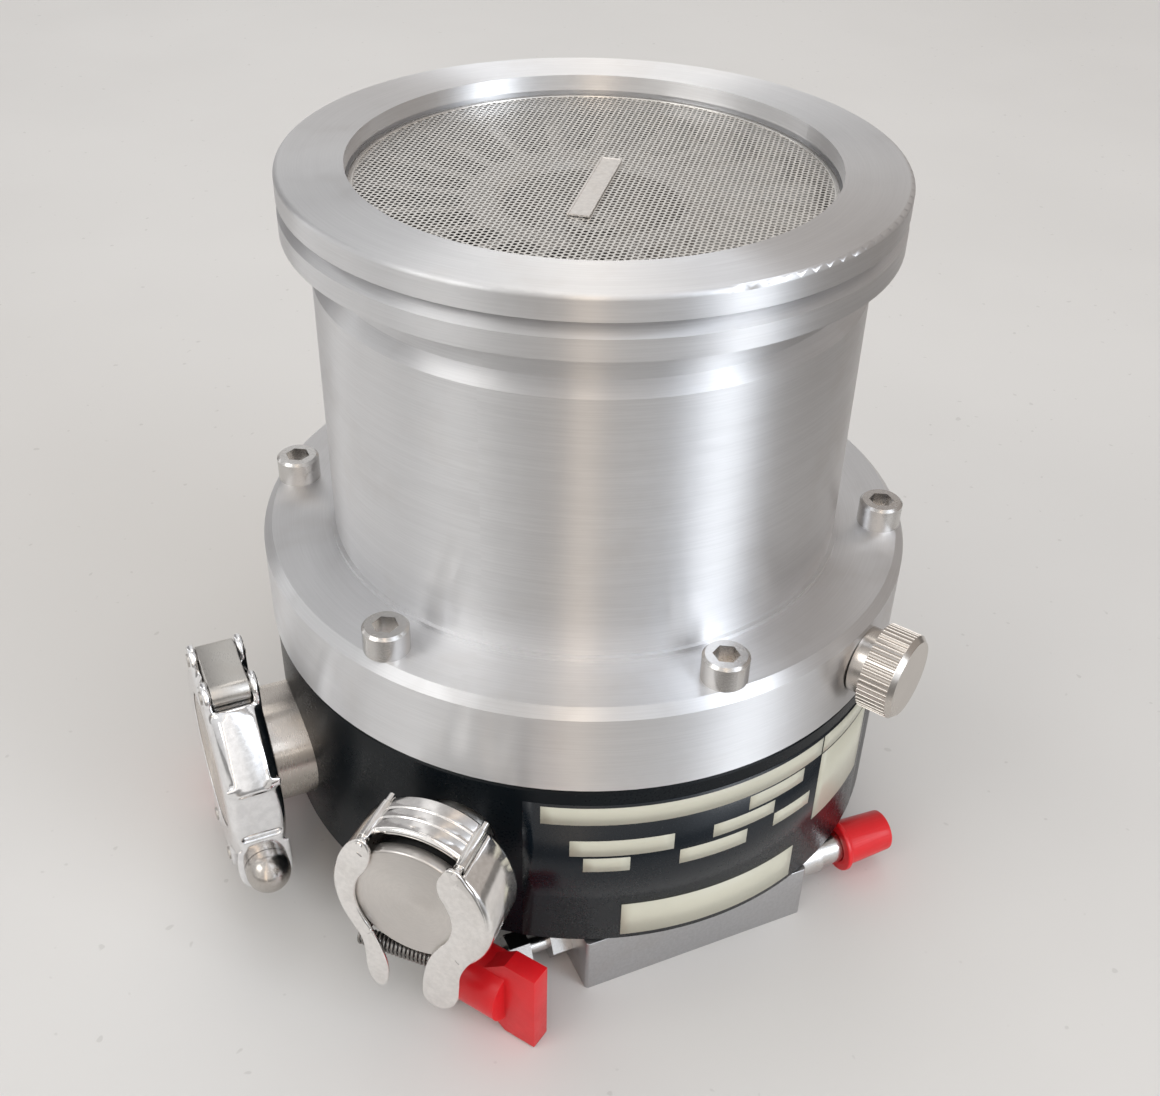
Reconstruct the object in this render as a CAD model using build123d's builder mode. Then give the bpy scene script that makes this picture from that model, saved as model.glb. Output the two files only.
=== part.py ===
"""Turbomolecular vacuum pump, ISO-K 100 inlet, with clamped backing and interstage ports.

Frame: +Z up along the rotor axis, origin on that axis at the underside of the base block.
Millimetres throughout. Angles are about +Z from +X.
"""
import os
from math import cos, radians, sin, sqrt, tan

from build123d import *

os.makedirs("parts", exist_ok=True)

# ---- fits --------------------------------------------------------------------------------
fit = 0.04  # radial gap of pieces that are slid together and stay still
run_fit = 0.06  # radial gap of pieces that turn or slide on each other
seal_gap = 0.02  # gap left beside a squeezed seal

# ---- envelope and inlet flange -----------------------------------------------------------
overall_height = 172.0
housing_radius = 75.5
body_radius = housing_radius - 16.1
stack_bore_radius = body_radius - 3.9
flange_radius = body_radius + 5.6
inlet_bore_radius = stack_bore_radius - 4.5
flange_upper_rim = 5.0  # height of the rim above the flange groove
flange_slot = 0.9
flange_bevel = 2.3
flange_lower_rim = 4.4
flange_groove_radius = flange_radius - 3.8
flange_edge_round = 1.0
neck_radius = body_radius - 2.8
neck_height = 8.1
neck_bevel = 2.6
foot_ring_radius = body_radius + 1.0
foot_ring_height = 1.0
collar_top = 87.0
collar_height = 21.6
collar_chamfer = 2.0
screen_depth = 5.0  # inlet face down to the ledge that carries the screen
screen_groove_radius = inlet_bore_radius + 1.2
screen_groove_height = 1.5  # room beside the screen, above its ledge
ledge_radius = inlet_bore_radius - 1.8
ledge_height = 2.4

# ---- lower housing -----------------------------------------------------------------------
collar_overhang = 0.5
collar_radius = housing_radius + collar_overhang
housing_chamfer = 1.5
housing_bottom = 15.9
gallery_radius = housing_radius - 13.5
gallery_floor = 22.0
gallery_ceiling = 58.0
spigot_bore_radius = stack_bore_radius - 4.3
spigot_top = 86.0
floor_bore_radius = 26.0
seal_section = 1.5  # half thickness of the casing O-ring
seal_radius = body_radius + 2.0

# ---- base block --------------------------------------------------------------------------
block_width = 58.0
block_depth = 2 * housing_radius - 9.6
block_corner = 0.6
block_tap_radius = 4.25  # tapping hole of an M10 thread
block_tap_depth = 12.0
block_tap_spacing_x = 38.0
block_tap_spacing_y = 110.0
block_screw_spacing_x = 36.0
block_screw_spacing_y = 84.0
block_screw_radius = 3.0
block_screw_head_radius = 5.0
block_screw_head_height = 6.0
block_screw_seat = 8.0
block_screw_length = 13.0
block_screw_room = 0.5

# ---- casing screws -----------------------------------------------------------------------
screw_circle_radius = collar_radius - 6.0
screw_count = 6
screw_first_angle = 30.0
screw_radius = 3.0
screw_head_radius = 5.0
screw_head_height = 6.0
screw_socket_flats = 5.0
screw_socket_depth = 3.2
screw_length = 36.0
screw_tap_spare = 2.0
screw_head_chamfer = 0.6
support_screw_head_radius = 3.5

# ---- bladed stack ------------------------------------------------------------------------
rotor_top = overall_height - 9.0
rotor_floor = spigot_top + 1.0
stage_gap = 0.9
rotor_shares = [9.0, 8.0, 7.0, 6.0, 5.0, 5.0]  # relative heights of the blade rows
stator_shares = [7.0, 6.0, 5.0, 4.5, 4.5]
share_height = (rotor_top - rotor_floor - 10 * stage_gap) / (sum(rotor_shares) + sum(stator_shares))
rotor_heights = [share * share_height for share in rotor_shares]
stator_heights = [share * share_height for share in stator_shares]
rotor_angles = [40.0, 38.0, 34.0, 30.0, 26.0, 24.0]
stator_angles = [38.0, 34.0, 30.0, 26.0, 24.0]
blade_count = 20
blade_thickness = 1.7
hub_radius = 27.0
tip_radius = spigot_bore_radius - 1.0
hub_cup_radius = 19.0
hub_cup_depth = 13.0
hub_web = 9.0
hub_cavity_radius = 21.6
hub_boss_radius = 8.0
hub_boss_height = 4.0
stator_ring_inner = 28.2
stator_ring_width = 1.6
stator_rim_inner = spigot_bore_radius - 1.2
stator_rim_thickness = 1.0
spacer_bore_radius = spigot_bore_radius
stator_split = 0.2  # gap between the two halves of a stator disc

# ---- shaft, bearings and motor -----------------------------------------------------------
journal_radius = 5.0
shaft_radius = 7.0
bearing_radius = 13.0
bearing_width = 8.0
bearing_pitch = 9.0
bearing_shoulder = 1.3  # each ring reaches to within this of the ball pitch circle
ball_radius = 1.9
ball_count = 7
cage_half_width = 0.9
cage_half_height = 1.4
lower_bearing_z = 34.0
shaft_bottom = 26.0
magnet_radius = 11.0
magnet_height = 36.0
magnet_bottom = 72.0
motor_gap = 1.0
motor_stator_radius = 17.5
winding_overhang = 5.0
support_radius = 20.4
support_flange_radius = 40.0
support_flange_height = 6.0
support_neck_radius = 16.0
support_screw_circle = 34.0
support_screw_radius = 2.0
support_screw_depth = 5.2
blind_spare = 0.4  # blind hole left below a screw's end
carrier_flange_height = 4.0
shoulder_radius = 11.6  # bore of the ledges that the bearing outer rings sit against
shoulder_height = 6.0
shaft_nut_radius = 7.5
shaft_nut_height = 5.0
preload_height = 4.0
preload_inner = 9.8
rotor_bolt_radius = 3.0
rotor_bolt_head_radius = 5.0
rotor_bolt_head_height = 6.0
rotor_bolt_length = 24.0
rotor_washer_radius = 8.0
rotor_washer_height = 1.5

# ---- clamped ports -----------------------------------------------------------------------
joint_radius = housing_radius + 15.0  # pump axis to the mid-plane of both clamped joints
joint_gap = 3.9  # between the two flange faces
rim_thickness = 3.0
taper = tan(radians(15.0))
blank_face_inset = 4.0  # blank: rim radius less radius of the flat outer face
backing_angle = 180.0
backing_height = 36.0
backing_rim_radius = 20.0
backing_tube_radius = 14.0
backing_bore_radius = 12.5
backing_seal_radius = 16.6
side_angle = -135.0
side_height = 46.0
side_rim_radius = 15.0
side_tube_radius = 8.0
side_bore_radius = 6.5
side_seal_radius = 11.1
side_counterbore_radius = 10.0
side_counterbore_depth = 2.0
port_inset = 10.0
port_recess = 2.0  # tube end, from the gallery wall
centring_wall = 1.0
centring_lip = 1.8

# ---- hinged clamp on the backing port ----------------------------------------------------
clamp_radius = 26.0
clamp_half_width = 6.4
clamp_split = 1.2
clamp_mouth_radius = 16.0
clamp_shoulder = 2.2
clamp_groove_gap = 0.05
clamp_groove_room = 0.8
clamp_flat_top = 11.0  # port axis to the upper end of the front half's flat
tongue_drop = 23.5  # port axis to the rounded tip of the tongue
tongue_thickness = 4.6
tongue_overlap = 1.0  # how far the tongue reaches into the ring
slot_drop = 5.6
slot_half_length = 4.6
slot_height = 1.3
slot_depth = 1.5
pin_proud = 0.3
hinge_height = 25.6  # port axis to the link pins
hinge_spread = 7.0
hinge_pin_radius = 1.6
link_half_width = 4.4
link_thickness = 5.4
cheek_gap = 0.2
cheek_radius = 3.6
stud_drop = 15.4  # port axis to the nut's stud
stud_radius = 2.5
stud_depth = 5.0
nut_radius = 5.2
nut_seat_gap = 0.1
nut_straight = 1.6
nut_bore_depth = 4.4
nut_end_room = 0.4

# ---- spring clip on the side port --------------------------------------------------------
clip_half_width = 7.3
clip_sheet = 1.1
clip_radius = 18.3
clip_mouth_radius = 11.6
clip_pin_angle = 36.0  # from the top of the clip
clip_pin_radius = 0.8
clip_pin_circle = 18.2
clip_lug_radius = 1.6
clip_leg_drop = 30.5
clip_leg_offsets = {"left": -9.5, "right": 5.5}
clip_leg_half_widths = {"left": 2.6, "right": 4.2}
clip_rear_drop = 20.0
clip_leg_angle = 40.0
clip_band_half_width = 5.2
clip_band_radius = 17.2
clip_knuckle_room = 0.5
spring_drop = 17.3
spring_left = -10.9
spring_right = 10.5
spring_coil_radius = 2.0
spring_wire_radius = 0.5
spring_turns = 13

# ---- vent valve --------------------------------------------------------------------------
vent_angle = -60.0
vent_height = collar_top - 11.0
vent_boss_radius = 7.6
vent_boss_height = 3.0
vent_body_radius = 5.5
vent_body_length = 12.0
vent_bore_radius = 3.2
vent_seat_radius = 1.8
vent_stem_radius = 2.4
vent_knob_radius = 9.8
vent_knob_length = 8.0
vent_knob_gap = 0.4
vent_seal_thickness = 1.4
vent_knob_grooves = 48
vent_groove_radius = 0.42
vent_knob_end = 1.2
vent_knob_chamfer = 1.1

# ---- fittings and their caps -------------------------------------------------------------
left_pipe_inset = 16.9
left_pipe_y = left_pipe_inset - housing_radius
left_pipe_z = 6.2
left_hex_x = -39.0
swivel_inset = 18.1
swivel_x = swivel_inset - housing_radius
swivel_y = left_pipe_y
swivel_radius = 5.2
swivel_bottom = 1.5
swivel_height = 14.0
swivel_outlet_z = 12.0
swivel_outlet_angle = -57.0
swivel_chamfer = 0.8
rear_pipe_y = 27.0
rear_pipe_z = 10.0
rear_pipe_inset = 3.5
rear_pipe_end = rear_pipe_inset - housing_radius
right_pipe_inset = 13.5
right_pipe_y = right_pipe_inset - housing_radius
right_pipe_z = 9.0
pipe_radius = 2.0
hex_flats = 8.0
hex_length = 5.0
pipe_socket = 5.0
spigot_radius = 4.0
spigot_length = 9.0
wing_cap_radius = 7.2
wing_cap_wall = 3.0
wing_cap_length = 10.2
wing_half_span = 11.5
wing_thickness = 5.0
wing_length = 8.0
wing_shoulder = 6.4
rear_wing_turn = -50.0
right_spigot_radius = 3.9
right_spigot_length = 26.0
right_collar_radius = 4.8
right_collar_length = 8.0
cap_gap = 1.2
round_cap_radius = 5.8
round_cap_length = 14.0
round_cap_start = 14.4
round_cap_lip = 6.6
screen_thickness = 0.6
screen_clearance = 0.3
screen_border = 2.6
screen_relief = 0.15
plate_length = 31.5
plate_width = 4.2
plate_height = 0.35
plate_turn = 53.0
plate_x = -2.2
plate_y = -5.6

# ---- derived heights ---------------------------------------------------------------------
collar_bottom = collar_top - collar_height
flange_bottom = overall_height - flange_upper_rim - flange_slot - flange_bevel - flange_lower_rim
neck_bottom = flange_bottom - neck_height
ledge_top = overall_height - screen_depth
stack_top = ledge_top - ledge_height


def keep(name, part):
    """Label a finished piece and write it as one STEP file."""
    part.label = name
    export_step(part, f"parts/{name}.step")


def polar(radius, angle, height=0.0):
    """Point at a radius and an angle about the pump axis."""
    return Vector(radius * cos(radians(angle)), radius * sin(radians(angle)), height)




def port_face(angle, height, distance):
    """Plane square to a radial direction: x to the right as seen from outside, y up."""
    return Plane(polar(distance, angle, height), x_dir=polar(1, angle + 90), z_dir=polar(1, angle))


def port_section(angle, height):
    """Plane through a port's axis: x outwards from the joint plane, y up."""
    return Plane(polar(joint_radius, angle, height), x_dir=polar(1, angle), z_dir=polar(1, angle - 90))


def port_axis(angle, height):
    """A port's axis, pointing outwards."""
    return Axis(polar(joint_radius, angle, height), polar(1, angle))


# ---- stage levels: rotor disc, gap, stator disc, gap, and so on downwards ------------------
rotor_tops = []
stator_tops = []
level = rotor_top
for stage, rotor_height in enumerate(rotor_heights):
    rotor_tops.append(level)
    level -= rotor_height + stage_gap
    if stage < len(stator_heights):
        stator_tops.append(level)
        level -= stator_heights[stage] + stage_gap
rotor_bottom = level + stage_gap
stator_middles = [top - height / 2 for top, height in zip(stator_tops, stator_heights)]

# ---- casing: inlet flange, body and collar in one turned piece -----------------------------
screw_angles = [screw_first_angle + 360.0 / screw_count * n for n in range(screw_count)]
groove_bottom = overall_height - flange_upper_rim - flange_slot
vent_face = port_face(vent_angle, vent_height, collar_radius)

with BuildPart() as casing:
    with BuildSketch(Plane.XZ):
        with BuildLine():
            Polyline(
                (inlet_bore_radius, overall_height),
                (flange_radius, overall_height),
                (flange_radius, overall_height - flange_upper_rim),
                (flange_groove_radius, overall_height - flange_upper_rim),
                (flange_groove_radius, groove_bottom),
                (flange_radius, groove_bottom - flange_bevel),
                (flange_radius, flange_bottom),
                (neck_radius, flange_bottom),
                (neck_radius, neck_bottom),
                (body_radius, neck_bottom - neck_bevel),
                (body_radius, collar_top + foot_ring_height),
                (foot_ring_radius, collar_top + foot_ring_height),
                (foot_ring_radius, collar_top),
                (collar_radius - collar_chamfer, collar_top),
                (collar_radius, collar_top - collar_chamfer),
                (collar_radius, collar_bottom),
                (stack_bore_radius, collar_bottom),
                (stack_bore_radius, stack_top),
                (ledge_radius, stack_top),
                (ledge_radius, ledge_top),
                (screen_groove_radius, ledge_top),
                (screen_groove_radius, ledge_top + screen_groove_height),
                (inlet_bore_radius, ledge_top + screen_groove_height),
                close=True,
            )
        make_face()
    revolve(axis=Axis.Z)
    rims = edges().filter_by(GeomType.CIRCLE).group_by(Axis.Z)[-1]
    fillet(rims.sort_by(SortBy.RADIUS)[-1], flange_edge_round)
    with BuildSketch(Plane.XY.offset(collar_top)):
        with PolarLocations(screw_circle_radius, screw_count, start_angle=screw_first_angle):
            Circle(screw_radius + fit)
    extrude(amount=-collar_height, mode=Mode.SUBTRACT)
    with BuildSketch(vent_face):
        Circle(vent_body_radius + fit)
    extrude(amount=-vent_body_length, mode=Mode.SUBTRACT)
    with BuildSketch(vent_face):
        Circle(vent_seat_radius)
    extrude(amount=stack_bore_radius - collar_radius - fit, mode=Mode.SUBTRACT)
keep("casing", casing.part)

# ---- inlet screen ------------------------------------------------------------------------
screen_radius = inlet_bore_radius - screen_clearance
with BuildPart() as inlet_screen:
    with BuildSketch(Plane.XY.offset(ledge_top)):
        Circle(screen_radius)
    extrude(amount=screen_thickness)
    with BuildSketch(Plane.XY.offset(ledge_top + screen_thickness)):
        Circle(screen_radius - screen_border)
    extrude(amount=-screen_relief, mode=Mode.SUBTRACT)
    with BuildSketch(Plane.XY.offset(ledge_top + screen_thickness - screen_relief)):
        with Locations((plate_x, plate_y)):
            Rectangle(plate_length, plate_width, rotation=plate_turn)
    extrude(amount=plate_height)
keep("inlet_screen", inlet_screen.part)

# ---- lower housing: turned cup with a spigot for the stack ---------------------------------
with BuildPart() as base_housing:
    with BuildSketch(Plane.XZ):
        with BuildLine():
            Polyline(
                (floor_bore_radius + fit, housing_bottom),
                (housing_radius - housing_chamfer, housing_bottom),
                (housing_radius, housing_bottom + housing_chamfer),
                (housing_radius, collar_bottom - housing_chamfer),
                (housing_radius - housing_chamfer, collar_bottom),
                (stack_bore_radius - fit, collar_bottom),
                (stack_bore_radius - fit, spigot_top),
                (spigot_bore_radius, spigot_top),
                (spigot_bore_radius, gallery_ceiling),
                (gallery_radius, gallery_ceiling),
                (gallery_radius, gallery_floor),
                (floor_bore_radius + fit, gallery_floor),
                close=True,
            )
        make_face()
        with Locations((seal_radius, collar_bottom)):
            Rectangle(2 * (seal_section + seal_gap), 4 * (seal_section + seal_gap), mode=Mode.SUBTRACT)
    revolve(axis=Axis.Z)
    with BuildSketch(Plane.XY.offset(collar_bottom)):
        with PolarLocations(screw_circle_radius, screw_count, start_angle=screw_first_angle):
            Circle(screw_radius + fit)
    extrude(amount=collar_height - screw_length - screw_tap_spare, mode=Mode.SUBTRACT)
    with BuildSketch(Plane.XY.offset(gallery_floor)):
        with PolarLocations(support_screw_circle, screw_count):
            Circle(support_screw_radius + fit)
    extrude(amount=-support_screw_depth, mode=Mode.SUBTRACT)
    with BuildSketch(port_face(backing_angle, backing_height, gallery_radius - port_inset)):
        Circle(backing_tube_radius + fit)
    extrude(amount=housing_radius, mode=Mode.SUBTRACT)
    with BuildSketch(port_face(side_angle, side_height, gallery_radius - port_inset)):
        Circle(side_tube_radius + fit)
    extrude(amount=housing_radius, mode=Mode.SUBTRACT)
    with BuildSketch(port_face(side_angle, side_height, housing_radius - side_counterbore_depth)):
        Circle(side_counterbore_radius)
    extrude(amount=housing_radius, mode=Mode.SUBTRACT)
    with BuildSketch(vent_face):
        Circle(vent_seat_radius)
    extrude(amount=-housing_radius / 2, mode=Mode.SUBTRACT)
    with BuildSketch(Plane.XY.offset(housing_bottom)):
        with GridLocations(block_screw_spacing_x, block_screw_spacing_y, 2, 2):
            Circle(block_screw_radius + fit)
    extrude(amount=block_screw_length - (housing_bottom - block_screw_seat) + blind_spare, mode=Mode.SUBTRACT)
keep("base_housing", base_housing.part)

with BuildPart() as casing_o_ring:
    with BuildSketch(Plane.XZ):
        with Locations((seal_radius, collar_bottom - seal_section)):
            Circle(seal_section)
    revolve(axis=Axis.Z)
keep("casing_o_ring", casing_o_ring.part)

with BuildPart() as casing_screws:
    with BuildSketch(Plane.XY.offset(collar_top)):
        with PolarLocations(screw_circle_radius, screw_count, start_angle=screw_first_angle):
            Circle(screw_head_radius)
    extrude(amount=screw_head_height)
    chamfer(edges().group_by(Axis.Z)[-1], screw_head_chamfer)
    with BuildSketch(Plane.XY.offset(collar_top + screw_head_height)):
        with PolarLocations(screw_circle_radius, screw_count, start_angle=screw_first_angle):
            RegularPolygon(screw_socket_flats / 2, 6, major_radius=False)
    extrude(amount=-screw_socket_depth, mode=Mode.SUBTRACT)
    with BuildSketch(Plane.XY.offset(collar_top)):
        with PolarLocations(screw_circle_radius, screw_count, start_angle=screw_first_angle):
            Circle(screw_radius)
    extrude(amount=-screw_length)
keep("casing_screws", casing_screws.part)

# ---- blades: slanted slabs that stand out along +X, patterned round the axis ----------------


def blade(height, angle, lean, start, end, thickness=blade_thickness):
    """One blade; lean is +1 or -1, and start and end are its distances from the axis."""
    shift = lean * height / (2 * tan(radians(angle)))
    half = thickness / (2 * sin(radians(angle)))
    with BuildPart() as slab:
        with BuildSketch(Plane.YZ.offset(start)):
            with BuildLine():
                Polyline(
                    (-shift - half, -height / 2),
                    (-shift + half, -height / 2),
                    (shift + half, height / 2),
                    (shift - half, height / 2),
                    close=True,
                )
            make_face()
        extrude(amount=end - start)
    return slab.part


# ---- turbine rotor: bell-shaped hub with all blade rows in one piece -------------------------
web_bottom = rotor_top - hub_cup_depth - hub_web
rotor_blades = [
    blade(height, angle, 1, hub_radius - 2.0, tip_radius)
    for height, angle in zip(rotor_heights, rotor_angles)
]
with BuildPart() as turbine_rotor:
    with BuildSketch(Plane.XZ):
        with BuildLine():
            Polyline(
                (hub_radius, rotor_bottom),
                (hub_radius, rotor_top),
                (hub_cup_radius + 1.5, rotor_top),
                (hub_cup_radius, rotor_top - 1.5),
                (hub_cup_radius, rotor_top - hub_cup_depth),
                (journal_radius + fit, rotor_top - hub_cup_depth),
                (journal_radius + fit, web_bottom - hub_boss_height),
                (hub_boss_radius, web_bottom - hub_boss_height),
                (hub_boss_radius, web_bottom),
                (hub_cavity_radius - 3.0, web_bottom),
                (hub_cavity_radius, web_bottom - 3.0),
                (hub_cavity_radius, rotor_bottom),
                close=True,
            )
        make_face()
    revolve(axis=Axis.Z)
    for stage, top in enumerate(rotor_tops):
        with Locations((0, 0, top - rotor_heights[stage] / 2)):
            with PolarLocations(0, blade_count, start_angle=stage * 4.0):
                add(rotor_blades[stage])
keep("turbine_rotor", turbine_rotor.part)

# ---- stator discs: each a rim, an inner ring and blades, cut into two halves ------------------
stator_halves = []
for stage, middle in enumerate(stator_middles):
    height = stator_heights[stage]
    angle = stator_angles[stage]
    vane = blade(height, angle, -1, stator_ring_inner + 0.7, stator_rim_inner + 0.6)
    cutter = blade(2 * height, angle, -1, hub_radius, body_radius, stator_split)
    with BuildPart() as disc:
        with BuildSketch(Plane.XY.offset(middle - stator_rim_thickness / 2)):
            Circle(stack_bore_radius - fit)
            Circle(stator_rim_inner, mode=Mode.SUBTRACT)
            Circle(stator_ring_inner + stator_ring_width)
            Circle(stator_ring_inner, mode=Mode.SUBTRACT)
        extrude(amount=stator_rim_thickness)
        with Locations((0, 0, middle)):
            with PolarLocations(0, blade_count, start_angle=180.0 / blade_count):
                add(vane)
            with PolarLocations(0, 2):
                add(cutter, mode=Mode.SUBTRACT)
    stator_halves.extend(disc.part.solids())
keep("stator_discs", Compound(children=stator_halves))

# ---- spacer rings between the stator rims ----------------------------------------------------
ring_tops = [stack_top] + [middle - stator_rim_thickness / 2 for middle in stator_middles]
ring_bottoms = [middle + stator_rim_thickness / 2 for middle in stator_middles] + [spigot_top]
with BuildPart() as spacer_rings:
    for ring_top, ring_bottom in zip(ring_tops, ring_bottoms):
        with BuildSketch(Plane.XY.offset(ring_bottom)):
            Circle(stack_bore_radius - fit)
            Circle(spacer_bore_radius, mode=Mode.SUBTRACT)
        extrude(amount=ring_top - ring_bottom)
keep("spacer_rings", spacer_rings.part)

# ---- shaft and its fixings -------------------------------------------------------------------
upper_bearing_top = web_bottom - hub_boss_height
upper_bearing_z = upper_bearing_top - bearing_width
shaft_top = rotor_top - hub_cup_depth - 2.0
with BuildPart() as rotor_shaft:
    with BuildSketch(Plane.XZ):
        with BuildLine():
            Polyline(
                (0, shaft_bottom),
                (journal_radius, shaft_bottom),
                (journal_radius, lower_bearing_z + bearing_width),
                (shaft_radius, lower_bearing_z + bearing_width),
                (shaft_radius, upper_bearing_z),
                (journal_radius, upper_bearing_z),
                (journal_radius, shaft_top),
                (0, shaft_top),
                close=True,
            )
        make_face()
    revolve(axis=Axis.Z)
    with BuildSketch(Plane.XY.offset(shaft_top)):
        Circle(rotor_bolt_radius + fit)
    extrude(amount=-rotor_bolt_length, mode=Mode.SUBTRACT)
keep("rotor_shaft", rotor_shaft.part)

cup_floor = rotor_top - hub_cup_depth
with BuildPart() as rotor_washer:
    with BuildSketch(Plane.XY.offset(cup_floor)):
        Circle(rotor_washer_radius)
        Circle(rotor_bolt_radius + fit, mode=Mode.SUBTRACT)
    extrude(amount=rotor_washer_height)
keep("rotor_washer", rotor_washer.part)

with BuildPart() as rotor_bolt:
    with BuildSketch(Plane.XY.offset(cup_floor + rotor_washer_height)):
        Circle(rotor_bolt_head_radius)
    extrude(amount=rotor_bolt_head_height)
    with BuildSketch(Plane.XY.offset(cup_floor + rotor_washer_height + rotor_bolt_head_height)):
        RegularPolygon(screw_socket_flats / 2, 6, major_radius=False)
    extrude(amount=-screw_socket_depth, mode=Mode.SUBTRACT)
    with BuildSketch(Plane.XY.offset(cup_floor + rotor_washer_height)):
        Circle(rotor_bolt_radius)
    extrude(amount=-(rotor_bolt_length - 2.0))
keep("rotor_bolt", rotor_bolt.part)

with BuildPart() as shaft_nut:
    with BuildSketch(Plane.XY.offset(lower_bearing_z - shaft_nut_height)):
        RegularPolygon(shaft_nut_radius, 6)
        Circle(journal_radius + fit, mode=Mode.SUBTRACT)
    extrude(amount=shaft_nut_height)
keep("shaft_nut", shaft_nut.part)

with BuildPart() as motor_magnet:
    with BuildSketch(Plane.XY.offset(magnet_bottom)):
        Circle(magnet_radius)
        Circle(shaft_radius + fit, mode=Mode.SUBTRACT)
    extrude(amount=magnet_height)
keep("motor_magnet", motor_magnet.part)


# ---- ball bearings: two grooved rings with a ball cage between them ---------------------------
def bearing_ring(bottom, inner, outer):
    """Bearing ring between two radii, with the ball groove cut in it."""
    with BuildPart() as ring:
        with BuildSketch(Plane.XZ):
            with Locations(((inner + outer) / 2, bottom + bearing_width / 2)):
                Rectangle(outer - inner, bearing_width)
            with Locations((bearing_pitch, bottom + bearing_width / 2)):
                Circle(ball_radius + run_fit, mode=Mode.SUBTRACT)
        revolve(axis=Axis.Z)
    return ring.part


def ball_cage(bottom):
    """Cage ring with its balls."""
    with BuildPart() as cage:
        with BuildSketch(Plane.XZ):
            with Locations((bearing_pitch, bottom + bearing_width / 2)):
                Rectangle(2 * cage_half_width, 2 * cage_half_height)
        revolve(axis=Axis.Z)
        with Locations((0, 0, bottom + bearing_width / 2)):
            with PolarLocations(bearing_pitch, ball_count):
                Sphere(ball_radius)
    return cage.part


for place, bottom in (("upper", upper_bearing_z), ("lower", lower_bearing_z)):
    keep(f"{place}_bearing_inner", bearing_ring(bottom, journal_radius + fit, bearing_pitch - bearing_shoulder))
    keep(f"{place}_bearing_outer", bearing_ring(bottom, bearing_pitch + bearing_shoulder, bearing_radius))
    keep(f"{place}_bearing_cage", ball_cage(bottom))

# ---- motor stator ----------------------------------------------------------------------------
with BuildPart() as motor_stator:
    with BuildSketch(Plane.XY.offset(magnet_bottom)):
        Circle(motor_stator_radius - fit)
        Circle(magnet_radius + motor_gap, mode=Mode.SUBTRACT)
    extrude(amount=magnet_height)
    with BuildSketch(Plane.XY.offset(magnet_bottom - winding_overhang)):
        Circle(motor_stator_radius - 1.0)
        Circle(magnet_radius + motor_gap + 0.8, mode=Mode.SUBTRACT)
    extrude(amount=magnet_height + 2 * winding_overhang)
    chamfer(edges().filter_by(GeomType.CIRCLE).group_by(Axis.Z)[0], 0.8)
    chamfer(edges().filter_by(GeomType.CIRCLE).group_by(Axis.Z)[-1], 0.8)
keep("motor_stator", motor_stator.part)

# ---- bearing support tube, lower carrier, preload ring and end cap ---------------------------
motor_bay_top = magnet_bottom + magnet_height + winding_overhang + 1.0
support_top = upper_bearing_top + 0.6
with BuildPart() as bearing_support:
    with BuildSketch(Plane.XZ):
        with BuildLine():
            Polyline(
                (motor_stator_radius, gallery_floor),
                (support_flange_radius, gallery_floor),
                (support_flange_radius, gallery_floor + support_flange_height),
                (support_radius, gallery_floor + support_flange_height),
                (support_radius, motor_bay_top),
                (support_neck_radius, motor_bay_top + support_radius - support_neck_radius),
                (support_neck_radius, support_top),
                (bearing_radius + fit, support_top),
                (bearing_radius + fit, upper_bearing_z),
                (shoulder_radius, upper_bearing_z),
                (shoulder_radius, motor_bay_top),
                (motor_stator_radius, motor_bay_top),
                close=True,
            )
        make_face()
    revolve(axis=Axis.Z)
    with BuildSketch(Plane.XY.offset(gallery_floor)):
        with PolarLocations(support_screw_circle, screw_count):
            Circle(support_screw_radius + fit)
    extrude(amount=support_flange_height, mode=Mode.SUBTRACT)
keep("bearing_support", bearing_support.part)

with BuildPart() as support_screws:
    with BuildSketch(Plane.XY.offset(gallery_floor + support_flange_height)):
        with PolarLocations(support_screw_circle, screw_count):
            Circle(support_screw_head_radius)
    extrude(amount=2 * support_screw_radius)
    with BuildSketch(Plane.XY.offset(gallery_floor + support_flange_height)):
        with PolarLocations(support_screw_circle, screw_count):
            Circle(support_screw_radius)
    extrude(amount=blind_spare - support_screw_depth - support_flange_height)
keep("support_screws", support_screws.part)

carrier_bottom = gallery_floor - carrier_flange_height
with BuildPart() as bearing_carrier:
    with BuildSketch(Plane.XZ):
        with BuildLine():
            Polyline(
                (bearing_radius + fit, carrier_bottom),
                (floor_bore_radius, carrier_bottom),
                (floor_bore_radius, gallery_floor),
                (motor_stator_radius - fit, gallery_floor),
                (motor_stator_radius - fit, lower_bearing_z + bearing_width + shoulder_height),
                (shoulder_radius, lower_bearing_z + bearing_width + shoulder_height),
                (shoulder_radius, lower_bearing_z + bearing_width),
                (bearing_radius + fit, lower_bearing_z + bearing_width),
                close=True,
            )
        make_face()
    revolve(axis=Axis.Z)
keep("bearing_carrier", bearing_carrier.part)

with BuildPart() as preload_ring:
    with BuildSketch(Plane.XY.offset(lower_bearing_z - preload_height)):
        Circle(bearing_radius - 2 * fit)
        Circle(preload_inner, mode=Mode.SUBTRACT)
    extrude(amount=preload_height)
keep("preload_ring", preload_ring.part)

with BuildPart() as end_cap:
    with BuildSketch(Plane.XZ):
        with BuildLine():
            Polyline(
                (0, housing_bottom),
                (floor_bore_radius, housing_bottom),
                (floor_bore_radius, carrier_bottom),
                (bearing_radius - fit, carrier_bottom),
                (bearing_radius - fit, lower_bearing_z - preload_height),
                (preload_inner, lower_bearing_z - preload_height),
                (preload_inner, carrier_bottom),
                (0, carrier_bottom),
                close=True,
            )
        make_face()
    revolve(axis=Axis.Z)
keep("end_cap", end_cap.part)

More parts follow.
